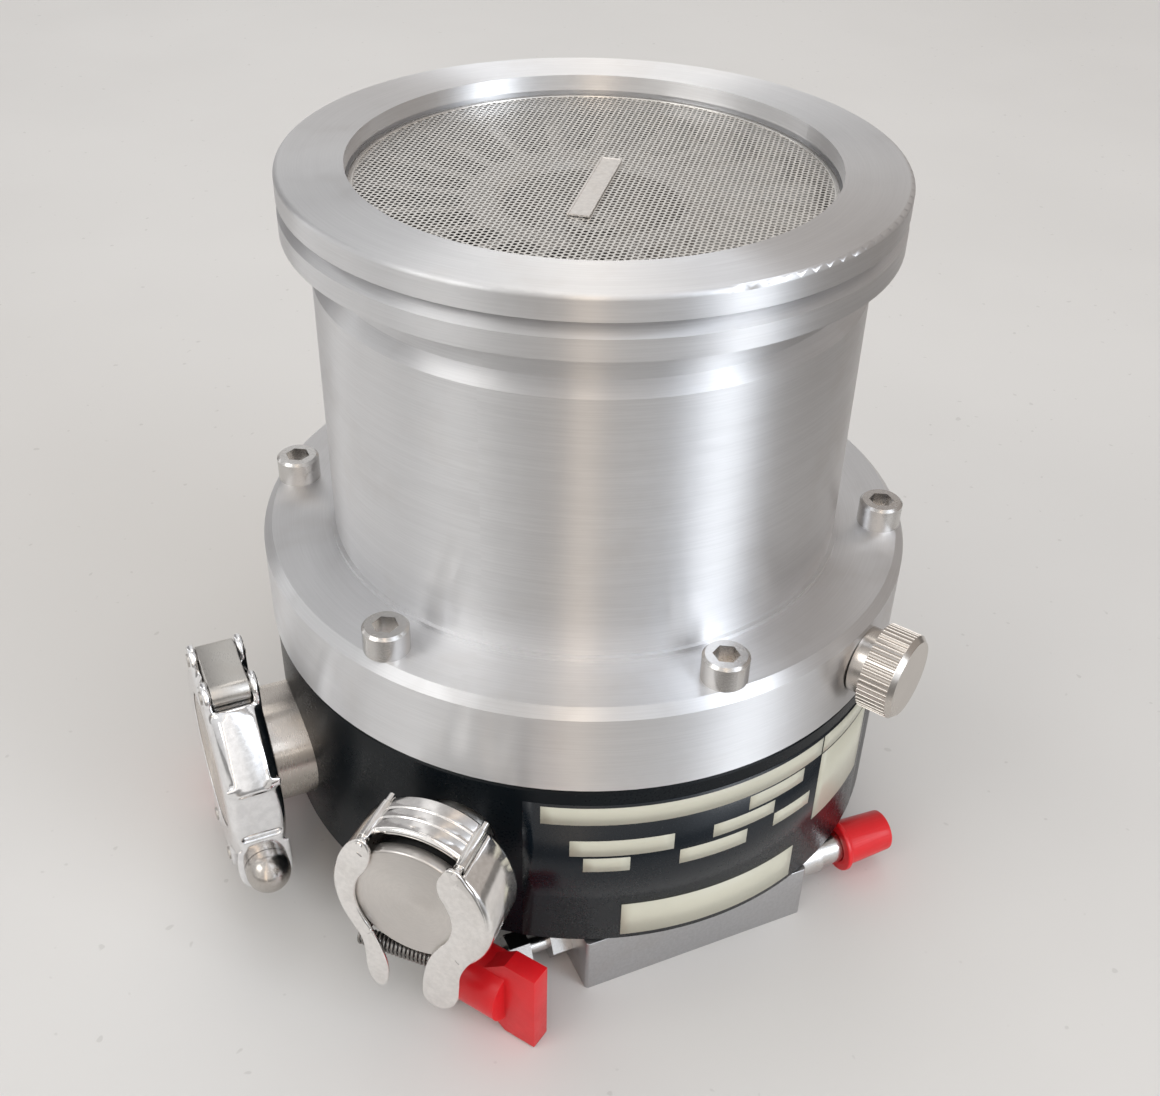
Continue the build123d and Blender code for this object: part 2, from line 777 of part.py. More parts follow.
# ---- base block with its screws --------------------------------------------------------------
with BuildPart() as base_block:
    with BuildSketch():
        Rectangle(block_width, block_depth)
    extrude(amount=housing_bottom)
    chamfer(edges().filter_by(Axis.Z), block_corner)
    with BuildSketch():
        with GridLocations(block_tap_spacing_x, block_tap_spacing_y, 2, 2):
            Circle(block_tap_radius)
    extrude(amount=block_tap_depth, mode=Mode.SUBTRACT)
    with BuildSketch():
        with GridLocations(block_screw_spacing_x, block_screw_spacing_y, 2, 2):
            Circle(block_screw_head_radius + block_screw_room)
    extrude(amount=block_screw_seat, mode=Mode.SUBTRACT)
    with BuildSketch():
        with GridLocations(block_screw_spacing_x, block_screw_spacing_y, 2, 2):
            Circle(block_screw_radius + fit)
    extrude(amount=housing_bottom, mode=Mode.SUBTRACT)
    for pipe_y, pipe_z, side in (
        (left_pipe_y, left_pipe_z, -1),
        (rear_pipe_y, rear_pipe_z, -1),
        (right_pipe_y, right_pipe_z, 1),
    ):
        with BuildSketch(Plane((side * block_width / 2, pipe_y, pipe_z), x_dir=(0, 1, 0), z_dir=(side, 0, 0))):
            Circle(pipe_radius + fit)
        extrude(amount=-pipe_socket, mode=Mode.SUBTRACT)
keep("base_block", base_block.part)

with BuildPart() as base_block_screws:
    with BuildSketch(Plane.XY.offset(block_screw_seat)):
        with GridLocations(block_screw_spacing_x, block_screw_spacing_y, 2, 2):
            Circle(block_screw_head_radius)
    extrude(amount=-block_screw_head_height)
    with BuildSketch(Plane.XY.offset(block_screw_seat)):
        with GridLocations(block_screw_spacing_x, block_screw_spacing_y, 2, 2):
            Circle(block_screw_radius)
    extrude(amount=block_screw_length)
keep("base_block_screws", base_block_screws.part)


# ---- clamped ports: tube with flange, centring ring, O-ring, blank flange --------------------
def flange_pieces(name, angle, height, rim, tube, bore, seal):
    """The five pieces of one clamped joint; the section's x is outwards from the joint plane."""
    section = port_section(angle, height)
    axis = port_axis(angle, height)
    face = joint_gap / 2
    tube_end = gallery_radius + port_recess - joint_radius
    cone_end = face + rim_thickness + (rim - tube) * taper
    with BuildPart() as port:
        with BuildSketch(section):
            with BuildLine():
                Polyline(
                    (tube_end, bore),
                    (-face, bore),
                    (-face, rim),
                    (-face - rim_thickness, rim),
                    (-cone_end, tube),
                    (tube_end, tube),
                    close=True,
                )
            make_face()
        revolve(axis=axis)
    keep(f"{name}_port", port.part)
    flat = rim - blank_face_inset
    with BuildPart() as blank:
        with BuildSketch(section):
            with BuildLine():
                Polyline(
                    (face, 0),
                    (face, rim),
                    (face + rim_thickness, rim),
                    (face + rim_thickness + blank_face_inset * taper, flat),
                    (face + rim_thickness + blank_face_inset * taper, 0),
                    close=True,
                )
            make_face()
            with Locations((face, 0)):
                Rectangle(2 * centring_lip + 2 * fit, 2 * bore, mode=Mode.SUBTRACT)
        revolve(axis=axis)
    keep(f"{name}_blank_flange", blank.part)
    seal_half = joint_gap / 2 - seal_gap
    with BuildPart() as centring:
        with BuildSketch(section):
            with Locations((0, bore - fit - centring_wall / 2)):
                Rectangle(2 * (face + centring_lip), centring_wall)
            with BuildLine():
                Polyline(
                    (-face + seal_gap, bore - fit - centring_wall),
                    (-face + seal_gap, seal - seal_half),
                    (face - seal_gap, seal - seal_half),
                    (face - seal_gap, bore - fit - centring_wall),
                    close=True,
                )
            make_face()
            with Locations((0, seal)):
                Circle(seal_half + seal_gap, mode=Mode.SUBTRACT)
        revolve(axis=axis)
    keep(f"{name}_centring_ring", centring.part)
    with BuildPart() as seal_ring:
        with BuildSketch(section):
            with Locations((0, seal)):
                Circle(seal_half)
        revolve(axis=axis)
    keep(f"{name}_o_ring", seal_ring.part)


flange_pieces(
    "backing",
    backing_angle,
    backing_height,
    backing_rim_radius,
    backing_tube_radius,
    backing_bore_radius,
    backing_seal_radius,
)
flange_pieces(
    "side",
    side_angle,
    side_height,
    side_rim_radius,
    side_tube_radius,
    side_bore_radius,
    side_seal_radius,
)

# ---- backing clamp: two half rings, link, pins, swing bolt and dome nut -----------------------
clamp_face = port_face(backing_angle, backing_height, joint_radius)
clamp_section = port_section(backing_angle, backing_height)
clamp_axis = port_axis(backing_angle, backing_height)
rim_edge = joint_gap / 2 + rim_thickness + clamp_groove_gap
mouth_edge = rim_edge + (backing_rim_radius - clamp_mouth_radius) * taper
groove_radius = backing_rim_radius + clamp_groove_room
clamp_flat = sqrt(clamp_radius**2 - clamp_flat_top**2)
tongue_corner = -tongue_drop + clamp_half_width
link_floor = hinge_height - link_thickness / 2 - cheek_gap
front_plane = Plane(clamp_face.origin, x_dir=clamp_face.z_dir * -1, z_dir=clamp_face.x_dir)


def clamp_plane(offset=0.0):
    """Plane square to the backing port's axis, at a distance outwards from the joint plane."""
    return clamp_face.offset(offset)


def tongue():
    """Flat finger on the front half, round at its tip, outside the ring."""
    with BuildPart() as finger:
        with BuildSketch(front_plane.offset(clamp_flat)):
            with Locations((0, (clamp_flat_top + tongue_corner) / 2)):
                Rectangle(2 * clamp_half_width, clamp_flat_top - tongue_corner)
            with Locations((0, tongue_corner)):
                Circle(clamp_half_width)
        extrude(amount=-tongue_thickness)
        with BuildSketch(clamp_plane(-2 * clamp_half_width)):
            Circle(clamp_radius - tongue_overlap)
        extrude(amount=4 * clamp_half_width, mode=Mode.SUBTRACT)
    return finger.part


def half_ring(side):
    """Half of the clamp; side is +1 at the front and -1 at the back."""
    with BuildPart() as half:
        with BuildSketch(clamp_section):
            with BuildLine():
                Polyline(
                    (-clamp_half_width, clamp_mouth_radius),
                    (-mouth_edge, clamp_mouth_radius),
                    (-rim_edge, backing_rim_radius),
                    (-rim_edge, groove_radius),
                    (rim_edge, groove_radius),
                    (rim_edge, backing_rim_radius),
                    (mouth_edge, clamp_mouth_radius),
                    (clamp_half_width, clamp_mouth_radius),
                    (clamp_half_width, clamp_radius - 2 * clamp_shoulder),
                    (clamp_half_width - clamp_shoulder, clamp_radius),
                    (clamp_shoulder - clamp_half_width, clamp_radius),
                    (-clamp_half_width, clamp_radius - 2 * clamp_shoulder),
                    close=True,
                )
            make_face()
        revolve(axis=clamp_axis)
        with BuildSketch(clamp_plane(-clamp_half_width)):
            with Locations((side * hinge_spread, hinge_height), (side * hinge_spread, -hinge_height)):
                Circle(cheek_radius)
            with GridLocations(0, hinge_height + groove_radius, 1, 2):
                with Locations((side * hinge_spread, 0)):
                    Rectangle(2 * cheek_radius, hinge_height - groove_radius)
        extrude(amount=2 * clamp_half_width)
        with BuildSketch(clamp_plane(-link_half_width - cheek_gap)):
            with GridLocations(0, 2 * (link_floor + link_thickness), 1, 2):
                Rectangle(4 * hinge_spread, 2 * link_thickness)
        extrude(amount=2 * (link_half_width + cheek_gap), mode=Mode.SUBTRACT)
        with BuildSketch(clamp_plane(-clamp_half_width)):
            with Locations((side * hinge_spread, hinge_height), (side * hinge_spread, -hinge_height)):
                Circle(hinge_pin_radius + fit)
        extrude(amount=2 * clamp_half_width, mode=Mode.SUBTRACT)
        if side > 0:
            with BuildSketch(clamp_plane(-clamp_half_width)):
                with Locations((clamp_flat + clamp_radius, clamp_flat_top - clamp_radius)):
                    Rectangle(2 * clamp_radius, 2 * clamp_radius)
            extrude(amount=2 * clamp_half_width, mode=Mode.SUBTRACT)
            add(tongue())
            with BuildSketch(front_plane.offset(clamp_flat)):
                with Locations((0, -slot_drop)):
                    Rectangle(2 * slot_half_length, slot_height)
            extrude(amount=-slot_depth, mode=Mode.SUBTRACT)
            with BuildSketch(front_plane.offset(clamp_flat)):
                with Locations((0, -stud_drop)):
                    Circle(stud_radius + fit)
            extrude(amount=-stud_depth - blind_spare, mode=Mode.SUBTRACT)
        split(bisect_by=clamp_half_plane(side), keep=Keep.TOP)
    return half.part


def clamp_half_plane(side):
    """Plane that faces one half of the clamp, half the split away from the port's axis."""
    return Plane(clamp_face.origin + clamp_face.x_dir * side * clamp_split / 2, z_dir=clamp_face.x_dir * side)


keep("clamp_front_half", half_ring(1))
keep("clamp_back_half", half_ring(-1))

with BuildPart() as clamp_link:
    with BuildSketch(clamp_plane(-link_half_width)):
        with Locations((0, hinge_height), (0, -hinge_height)):
            SlotCenterToCenter(2 * hinge_spread, link_thickness)
        with GridLocations(2 * hinge_spread, 2 * hinge_height, 2, 2):
            Circle(hinge_pin_radius + fit, mode=Mode.SUBTRACT)
    extrude(amount=2 * link_half_width)
keep("clamp_link", clamp_link.part)

with BuildPart() as clamp_pins:
    with BuildSketch(clamp_plane(-clamp_half_width - pin_proud)):
        with GridLocations(2 * hinge_spread, 2 * hinge_height, 2, 2):
            Circle(hinge_pin_radius)
    extrude(amount=2 * (clamp_half_width + pin_proud))
keep("clamp_pins", clamp_pins.part)

stud_plane = Plane(
    clamp_face.from_local_coords(Vector(0, -stud_drop, 0)),
    x_dir=clamp_face.x_dir,
    z_dir=clamp_face.y_dir,
)
stud_axis = Axis(stud_plane.origin, clamp_face.x_dir)
nut_start = clamp_flat + nut_seat_gap
with BuildPart() as clamp_stud:
    with BuildSketch(front_plane.offset(clamp_flat - stud_depth)):
        with Locations((0, -stud_drop)):
            Circle(stud_radius)
    extrude(amount=stud_depth + nut_seat_gap + nut_bore_depth - nut_end_room)
keep("clamp_stud", clamp_stud.part)

with BuildPart() as clamp_nut:
    with BuildSketch(stud_plane):
        with BuildLine():
            Line((nut_start, 0), (nut_start, nut_radius))
            Line((nut_start, nut_radius), (nut_start + nut_straight, nut_radius))
            RadiusArc(
                (nut_start + nut_straight, nut_radius),
                (nut_start + nut_straight + nut_radius, 0),
                nut_radius,
            )
            Line((nut_start + nut_straight + nut_radius, 0), (nut_start, 0))
        make_face()
        with Locations((nut_start, 0)):
            Rectangle(2 * nut_bore_depth, 2 * (stud_radius + run_fit), mode=Mode.SUBTRACT)
    revolve(axis=stud_axis)
keep("clamp_nut", clamp_nut.part)

# ---- side port clip: link band, two pressed jaws, pins and spring ------------------------------
clip_face = port_face(side_angle, side_height, joint_radius)
inner_half = clip_half_width - clip_sheet


def clip_pin(side):
    """Centre of a link pin in the clip's face plane."""
    angle = radians(clip_pin_angle)
    return (side * clip_pin_circle * sin(angle), clip_pin_circle * cos(angle))


def clip_jaw(name, side):
    """One jaw: a lip at each face joined by a band round the outside, and a finger leg."""
    offset = clip_leg_offsets[name]
    half = clip_leg_half_widths[name]
    pin = clip_pin(side)
    leg_top = (side * (clip_radius + clip_mouth_radius) / 2 * sin(radians(clip_leg_angle)),
               -(clip_radius + clip_mouth_radius) / 2 * cos(radians(clip_leg_angle)))
    leg_tip = (offset, -clip_leg_drop + half)
    with BuildPart() as jaw:
        with BuildSketch(clip_face.offset(-clip_half_width)):
            Circle(clip_radius)
            with BuildLine():
                Polyline(
                    (0, 0),
                    (side * 2 * clip_radius * sin(radians(clip_pin_angle)), 2 * clip_radius * cos(radians(clip_pin_angle))),
                    (side * 3 * clip_radius, 0),
                    (side * 2 * clip_radius * sin(radians(clip_leg_angle)), -2 * clip_radius * cos(radians(clip_leg_angle))),
                    close=True,
                )
            make_face(mode=Mode.INTERSECT)
            SlotCenterPoint(leg_top, leg_tip, 2 * half)
            with Locations(pin):
                Circle(clip_lug_radius)
            Circle(clip_mouth_radius, mode=Mode.SUBTRACT)
        extrude(amount=2 * clip_half_width)
        with BuildSketch(clip_face.offset(-inner_half)):
            Circle(clip_band_radius)
            with Locations(pin):
                Circle(clip_lug_radius + clip_knuckle_room)
            with Locations((-side * clip_sheet, 0)):
                SlotCenterPoint(leg_top, leg_tip, 2 * half)
            with Locations((0, -clip_leg_drop - clip_rear_drop)):
                Rectangle(4 * clip_radius, 2 * clip_leg_drop)
        extrude(amount=2 * inner_half, mode=Mode.SUBTRACT)
        with BuildSketch(clip_face.offset(-clip_half_width)):
            with Locations((0, -clip_leg_drop - clip_rear_drop)):
                Rectangle(4 * clip_radius, 2 * clip_leg_drop)
        extrude(amount=clip_sheet, mode=Mode.SUBTRACT)
        with BuildSketch(clip_face.offset(-clip_half_width)):
            with Locations(pin):
                Circle(clip_pin_radius + run_fit)
        extrude(amount=2 * clip_half_width, mode=Mode.SUBTRACT)
    return jaw.part


keep("clip_jaw_left", clip_jaw("left", -1))
keep("clip_jaw_right", clip_jaw("right", 1))

with BuildPart() as clip_band:
    with BuildSketch(clip_face.offset(-clip_band_half_width)):
        Circle(clip_band_radius + clip_sheet)
        Circle(clip_band_radius, mode=Mode.SUBTRACT)
        with BuildLine():
            Polyline(
                (0, 0),
                (2 * clip_pin(1)[0], 2 * clip_pin(1)[1]),
                (2 * clip_pin(-1)[0], 2 * clip_pin(-1)[1]),
                close=True,
            )
        make_face(mode=Mode.INTERSECT)
        with Locations(clip_pin(-1), clip_pin(1)):
            Circle(clip_lug_radius)
            Circle(clip_pin_radius + fit, mode=Mode.SUBTRACT)
    extrude(amount=2 * clip_band_half_width)
keep("clip_link_band", clip_band.part)

with BuildPart() as clip_pins:
    with BuildSketch(clip_face.offset(-clip_half_width - pin_proud)):
        with Locations(clip_pin(-1), clip_pin(1)):
            Circle(clip_pin_radius)
    extrude(amount=2 * (clip_half_width + pin_proud))
keep("clip_pins", clip_pins.part)

spring_plane = Plane(
    clip_face.from_local_coords(Vector((spring_left + spring_right) / 2, -spring_drop, 0)),
    x_dir=clip_face.x_dir,
    z_dir=clip_face.z_dir,
)
spring_length = spring_right - spring_left
with BuildPart() as clip_spring:
    with BuildSketch(spring_plane):
        Rectangle(spring_length, 2 * spring_coil_radius - spring_wire_radius)
        with GridLocations((spring_length - 2 * spring_wire_radius) / (spring_turns - 1), 0, spring_turns, 1):
            with Locations((0, spring_coil_radius - spring_wire_radius), (0, spring_wire_radius - spring_coil_radius)):
                Circle(spring_wire_radius)
        with Locations((0, -spring_coil_radius)):
            Rectangle(2 * spring_length, 2 * spring_coil_radius, mode=Mode.SUBTRACT)
    revolve(axis=Axis(spring_plane.origin, spring_plane.x_dir))
keep("clip_spring", clip_spring.part)

# ---- vent valve in the collar ----------------------------------------------------------------
vent_section = Plane(vent_face.origin, x_dir=vent_face.z_dir, z_dir=-vent_face.x_dir)
vent_axis = Axis(vent_face.origin, vent_face.z_dir)
knob_start = vent_boss_height + vent_knob_gap
with BuildPart() as vent_valve_body:
    with BuildSketch(vent_section):
        with BuildLine():
            Polyline(
                (vent_boss_height, vent_stem_radius + run_fit),
                (vent_boss_height, vent_boss_radius),
                (0, vent_boss_radius),
                (0, vent_body_radius),
                (-vent_body_length, vent_body_radius),
                (-vent_body_length, vent_bore_radius),
                (-vent_body_length / 2, vent_bore_radius),
                (-vent_body_length / 2, vent_stem_radius + run_fit),
                close=True,
            )
        make_face()
    revolve(axis=vent_axis)
keep("vent_valve_body", vent_valve_body.part)

with BuildPart() as vent_stem:
    with BuildSketch(vent_face.offset(vent_seal_thickness - vent_body_length)):
        Circle(vent_stem_radius)
    extrude(amount=vent_body_length - vent_seal_thickness + knob_start + vent_knob_length - vent_knob_end)
keep("vent_stem", vent_stem.part)

with BuildPart() as vent_seal:
    with BuildSketch(vent_face.offset(-vent_body_length + seal_gap)):
        Circle(vent_bore_radius - run_fit)
    extrude(amount=vent_seal_thickness - seal_gap)
keep("vent_seal", vent_seal.part)

with BuildPart() as vent_knob:
    with BuildSketch(vent_face.offset(knob_start)):
        Circle(vent_knob_radius)
    extrude(amount=vent_knob_length)
    chamfer(faces().sort_by(vent_axis)[-1].edges(), vent_knob_chamfer)
    with BuildSketch(vent_face.offset(knob_start)):
        with PolarLocations(vent_knob_radius, vent_knob_grooves):
            Circle(vent_groove_radius)
    extrude(amount=vent_knob_length - vent_knob_end, mode=Mode.SUBTRACT)
    with BuildSketch(vent_face.offset(knob_start)):
        Circle(vent_stem_radius + run_fit)
    extrude(amount=vent_knob_length - vent_knob_end + run_fit, mode=Mode.SUBTRACT)
keep("vent_knob", vent_knob.part)

# ---- fittings at the base block and their red caps -------------------------------------------


def side_plane(x, y, z, side):
    """Plane square to X at a point; its z points outwards to the given side."""
    return Plane((x, y, z), x_dir=(0, 1, 0), z_dir=(side, 0, 0))


def pipe(y, z, end, hexagons, spigot=0.0):
    """Pipe from the block's left face to x = end, with hexagons on it and an optional end spigot."""
    start = -block_width / 2
    with BuildPart() as tube:
        with BuildSketch(side_plane(start + pipe_socket, y, z, -1)):
            Circle(pipe_radius)
        extrude(amount=start + pipe_socket - end)
        for hexagon in hexagons:
            with BuildSketch(side_plane(hexagon, y, z, -1)):
                RegularPolygon(hex_flats / 2, 6, major_radius=False)
            extrude(amount=hex_length)
        if spigot:
            with BuildSketch(side_plane(end, y, z, -1)):
                Circle(spigot_radius)
            extrude(amount=spigot)
    return tube.part


swivel_end = swivel_x + sqrt(swivel_radius**2 - (left_pipe_y - swivel_y) ** 2)
front_hexagons = (-block_width / 2, left_hex_x)
rear_hexagons = (-block_width / 2, rear_pipe_end + hex_length)
keep("front_pipe", pipe(left_pipe_y, left_pipe_z, swivel_end, front_hexagons))
keep("rear_pipe", pipe(rear_pipe_y, rear_pipe_z, rear_pipe_end, rear_hexagons, spigot_length))

swivel_centre = Vector(swivel_x, swivel_y, swivel_outlet_z)
outlet_plane = Plane(swivel_centre, x_dir=polar(1, swivel_outlet_angle + 90), z_dir=polar(1, swivel_outlet_angle))
with BuildPart() as front_swivel:
    with BuildSketch(Plane.XY.offset(swivel_bottom)):
        with Locations((swivel_x, swivel_y)):
            Circle(swivel_radius)
    extrude(amount=swivel_height)
    chamfer(edges().filter_by(GeomType.CIRCLE), swivel_chamfer)
    with BuildSketch(outlet_plane):
        Circle(spigot_radius)
    extrude(amount=swivel_radius + spigot_length)
    with BuildSketch(side_plane(swivel_end, left_pipe_y, left_pipe_z, -1)):
        Circle(pipe_radius + fit)
    extrude(amount=-swivel_radius, mode=Mode.SUBTRACT)
keep("front_swivel", front_swivel.part)


def wing_cap(plane, turn):
    """Push-on cap: a cup, and a flat wing across its closed end that is wider than the cup."""
    wing = Plane(plane.origin, x_dir=plane.z_dir, z_dir=plane.x_dir).rotated((turn, 0, 0))
    with BuildPart() as cap:
        with BuildSketch(plane):
            Circle(wing_cap_radius)
        extrude(amount=wing_cap_length)
        with BuildSketch(wing.offset(-wing_thickness / 2)):
            with BuildLine():
                Polyline(
                    (wing_cap_length - wing_shoulder, 0),
                    (wing_cap_length - wing_shoulder, wing_cap_radius - 1),
                    (wing_cap_length, wing_half_span),
                    (wing_cap_length + wing_length, wing_half_span),
                    (wing_cap_length + wing_length, -wing_half_span),
                    (wing_cap_length, -wing_half_span),
                    (wing_cap_length - wing_shoulder, -wing_cap_radius + 1),
                    close=True,
                )
            make_face()
        extrude(amount=wing_thickness)
        with BuildSketch(plane):
            Circle(spigot_radius + run_fit)
        extrude(amount=spigot_length, mode=Mode.SUBTRACT)
    return cap.part


keep("front_wing_cap", wing_cap(outlet_plane.offset(swivel_radius + cap_gap), 0))
keep("rear_wing_cap", wing_cap(side_plane(rear_pipe_end - cap_gap, rear_pipe_y, rear_pipe_z, -1), rear_wing_turn))

with BuildPart() as right_spigot:
    with BuildSketch(side_plane(block_width / 2 - pipe_socket, right_pipe_y, right_pipe_z, 1)):
        Circle(pipe_radius)
    extrude(amount=pipe_socket)
    with BuildSketch(side_plane(block_width / 2, right_pipe_y, right_pipe_z, 1)):
        Circle(right_collar_radius)
    extrude(amount=right_collar_length)
    with BuildSketch(side_plane(block_width / 2, right_pipe_y, right_pipe_z, 1)):
        Circle(right_spigot_radius)
    extrude(amount=right_spigot_length)
keep("right_spigot", right_spigot.part)

cap_plane = side_plane(block_width / 2 + round_cap_start, right_pipe_y, right_pipe_z, 1)
with BuildPart() as right_cap:
    with BuildSketch(cap_plane):
        Circle(round_cap_radius)
    extrude(amount=round_cap_length, taper=3)
    with BuildSketch(cap_plane):
        Circle(round_cap_lip)
    extrude(amount=1.4)
    with BuildSketch(cap_plane):
        Circle(right_spigot_radius + run_fit)
    extrude(amount=right_spigot_length - round_cap_start + run_fit, mode=Mode.SUBTRACT)
keep("right_cap", right_cap.part)
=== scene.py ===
"""Turbomolecular pump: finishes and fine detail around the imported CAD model."""
import math

import bmesh
import bpy
from mathutils import Matrix, Vector


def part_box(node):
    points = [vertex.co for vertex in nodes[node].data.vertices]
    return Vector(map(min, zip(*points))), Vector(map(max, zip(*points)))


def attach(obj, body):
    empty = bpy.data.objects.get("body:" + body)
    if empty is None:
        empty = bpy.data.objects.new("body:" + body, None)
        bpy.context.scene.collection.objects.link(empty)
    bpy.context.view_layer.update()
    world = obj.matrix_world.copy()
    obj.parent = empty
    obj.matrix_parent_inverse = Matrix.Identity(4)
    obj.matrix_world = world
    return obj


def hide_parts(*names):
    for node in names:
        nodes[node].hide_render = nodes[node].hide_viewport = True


MM = 0.001
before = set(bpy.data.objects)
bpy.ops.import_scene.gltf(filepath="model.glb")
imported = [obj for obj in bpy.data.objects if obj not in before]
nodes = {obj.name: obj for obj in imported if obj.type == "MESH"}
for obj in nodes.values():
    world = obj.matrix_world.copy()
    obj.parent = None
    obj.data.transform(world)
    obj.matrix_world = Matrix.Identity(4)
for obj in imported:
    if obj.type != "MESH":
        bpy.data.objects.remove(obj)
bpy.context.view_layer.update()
scene = bpy.context.scene

Z_AXIS = Vector((0, 0, 1))

# Places on the model, in millimetres and in degrees about the rotor axis.
HOUSING_RADIUS = 75.5
JOINT_REACH = 90.5  # from the rotor axis to the middle of either port's joint
BACKING_ANGLE, BACKING_HEIGHT = 180.0, 36.0
SIDE_ANGLE, SIDE_HEIGHT = -135.0, 46.0
VENT_ANGLE, VENT_HEIGHT = -60.0, 76.0


def polar(radius, angle, height=0.0):
    """A point at a radius in mm and an angle in degrees about the rotor axis."""
    turn = math.radians(angle)
    return Vector((radius * math.cos(turn), radius * math.sin(turn), height)) * MM


# ---- camera and room ---------------------------------------------------------
def build_camera():
    data = bpy.data.cameras.new("camera")
    data.lens = 43.31
    data.sensor_width = 36.0
    data.sensor_fit = "HORIZONTAL"
    data.clip_start = 0.01
    camera = bpy.data.objects.new("camera", data)
    scene.collection.objects.link(camera)
    place = (-0.11763, -0.25225, 0.27627)
    right = Vector((0.91397, -0.40517, 0.02224))
    forward = Vector((0.33862, 0.73136, -0.59199)).normalized()
    right = (right - forward * right.dot(forward)).normalized()
    up = right.cross(forward)
    turn = Matrix((right, up, -forward)).transposed().to_4x4()
    camera.matrix_world = Matrix.Translation(place) @ turn
    scene.camera = camera


class Nodes:
    """A short way to write a shader's node tree."""

    def __init__(self, tree):
        self.tree = tree
        tree.nodes.clear()

    def add(self, kind, inputs=None, **settings):
        made = self.tree.nodes.new(kind)
        for name, value in settings.items():
            setattr(made, name, value)
        for key, value in (inputs or {}).items():
            socket = made.inputs[key]
            if isinstance(value, bpy.types.NodeSocket):
                self.tree.links.new(value, socket)
            else:
                socket.default_value = value
        return made

    def math(self, operation, *values):
        return self.add("ShaderNodeMath", dict(enumerate(values)), operation=operation).outputs[0]

    def vector(self, operation, *values, out=0):
        made = self.add("ShaderNodeVectorMath", dict(enumerate(values)), operation=operation)
        return made.outputs[out]

    def noise(self, vector, scale, detail=2.0, rough=0.5, distortion=0.0):
        inputs = {"Vector": vector, "Scale": scale, "Detail": detail, "Roughness": rough,
                  "Distortion": distortion}
        return self.add("ShaderNodeTexNoise", inputs).outputs["Fac"]

    def span(self, value, low, high, to_low=0.0, to_high=1.0):
        inputs = {0: value, 1: low, 2: high, 3: to_low, 4: to_high}
        return self.add("ShaderNodeMapRange", inputs, interpolation_type="SMOOTHSTEP").outputs[0]

    def mix(self, factor, first, second):
        made = self.add("ShaderNodeMix", data_type="RGBA", blend_type="MIX")
        for index, value in ((0, factor), (6, first), (7, second)):
            if isinstance(value, bpy.types.NodeSocket):
                self.tree.links.new(value, made.inputs[index])
            elif index == 0:
                made.inputs[index].default_value = value
            else:
                made.inputs[index].default_value = (*value[:3], 1.0)
        return made.outputs[2]


def shades(base, darker, lighter):
    """A darker and a lighter tone of a colour."""
    return [part * darker for part in base], [min(1, part * lighter) for part in base]


def new_material(name):
    made = bpy.data.materials.new(name)
    made.use_nodes = True
    return made, Nodes(made.node_tree)


def axis_coordinates(tree, axis, centre):
    """Along-axis distance, radius and angle about an axis, in metres and turns."""
    axis = Vector(axis).normalized()
    side = axis.orthogonal().normalized()
    other = axis.cross(side)
    position = tree.add("ShaderNodeTexCoord").outputs["Object"]
    local = tree.vector("SUBTRACT", position, tuple(centre))
    along = tree.vector("DOT_PRODUCT", local, tuple(axis), out=1)
    u = tree.vector("DOT_PRODUCT", local, tuple(side), out=1)
    v = tree.vector("DOT_PRODUCT", local, tuple(other), out=1)
    squares = tree.math("MULTIPLY", u, u), tree.math("MULTIPLY", v, v)
    radius = tree.math("SQRT", tree.math("ADD", *squares))
    angle = tree.math("ARCTAN2", v, u)
    groove = tree.vector("CROSS_PRODUCT", tuple(axis), local)
    normal = tree.add("ShaderNodeNewGeometry").outputs["Normal"]
    across = tree.vector("NORMALIZE", tree.vector("CROSS_PRODUCT", normal, groove))
    return position, along, radius, angle, across


def turned_metal(name, base, roughness=0.3, axis=(0, 0, 1), centre=(0, 0, 0), line=0.00035,
                 streak=26.0, depth=0.06, anisotropic=0.7, soil=0.12):
    """Metal with the fine rings that a lathe leaves, and a little handling dirt."""
    dirt_colour = (0.55, 0.5, 0.45)
    made, tree = new_material(name)
    position, along, radius, angle, tangent = axis_coordinates(tree, axis, centre)
    rings = tree.add("ShaderNodeCombineXYZ", {
        0: tree.math("MULTIPLY", along, 1 / line),
        1: tree.math("MULTIPLY", radius, 1 / line),
        2: tree.math("MULTIPLY", angle, streak / 6.0),
    }).outputs[0]
    fine = tree.noise(rings, 1.0, 3.0, 0.65)
    broad = tree.noise(rings, 0.13, 2.0, 0.5)
    cloud = tree.noise(position, 55.0, 3.0, 0.6)
    marks = tree.noise(position, 420.0, 2.0, 0.5)
    dirt = tree.math("MULTIPLY", tree.span(cloud, 0.5, 0.72), soil)
    light = tree.mix(tree.span(fine, 0.3, 0.7), *shades(base, 0.965, 1.03))
    light = tree.mix(tree.span(broad, 0.35, 0.7, 0.0, 0.3), light, shades(base, 0.93, 1.0)[0])
    colour = tree.mix(dirt, light, dirt_colour)
    rough = tree.math("ADD", tree.span(fine, 0.25, 0.75, roughness - 0.02, roughness + 0.03),
                      tree.span(cloud, 0.4, 0.75, 0.0, 0.05))
    height = tree.math("ADD", fine, tree.math("MULTIPLY", marks, 0.1))
    bump = tree.add("ShaderNodeBump", {"Strength": depth, "Distance": 0.00005, "Height": height})
    shader = tree.add("ShaderNodeBsdfPrincipled", {
        "Base Color": colour, "Metallic": 1.0, "Roughness": rough, "Anisotropic": anisotropic,
        "Tangent": tangent, "Normal": bump.outputs[0],
    })
    tree.add("ShaderNodeOutputMaterial", {"Surface": shader.outputs[0]})
    return made


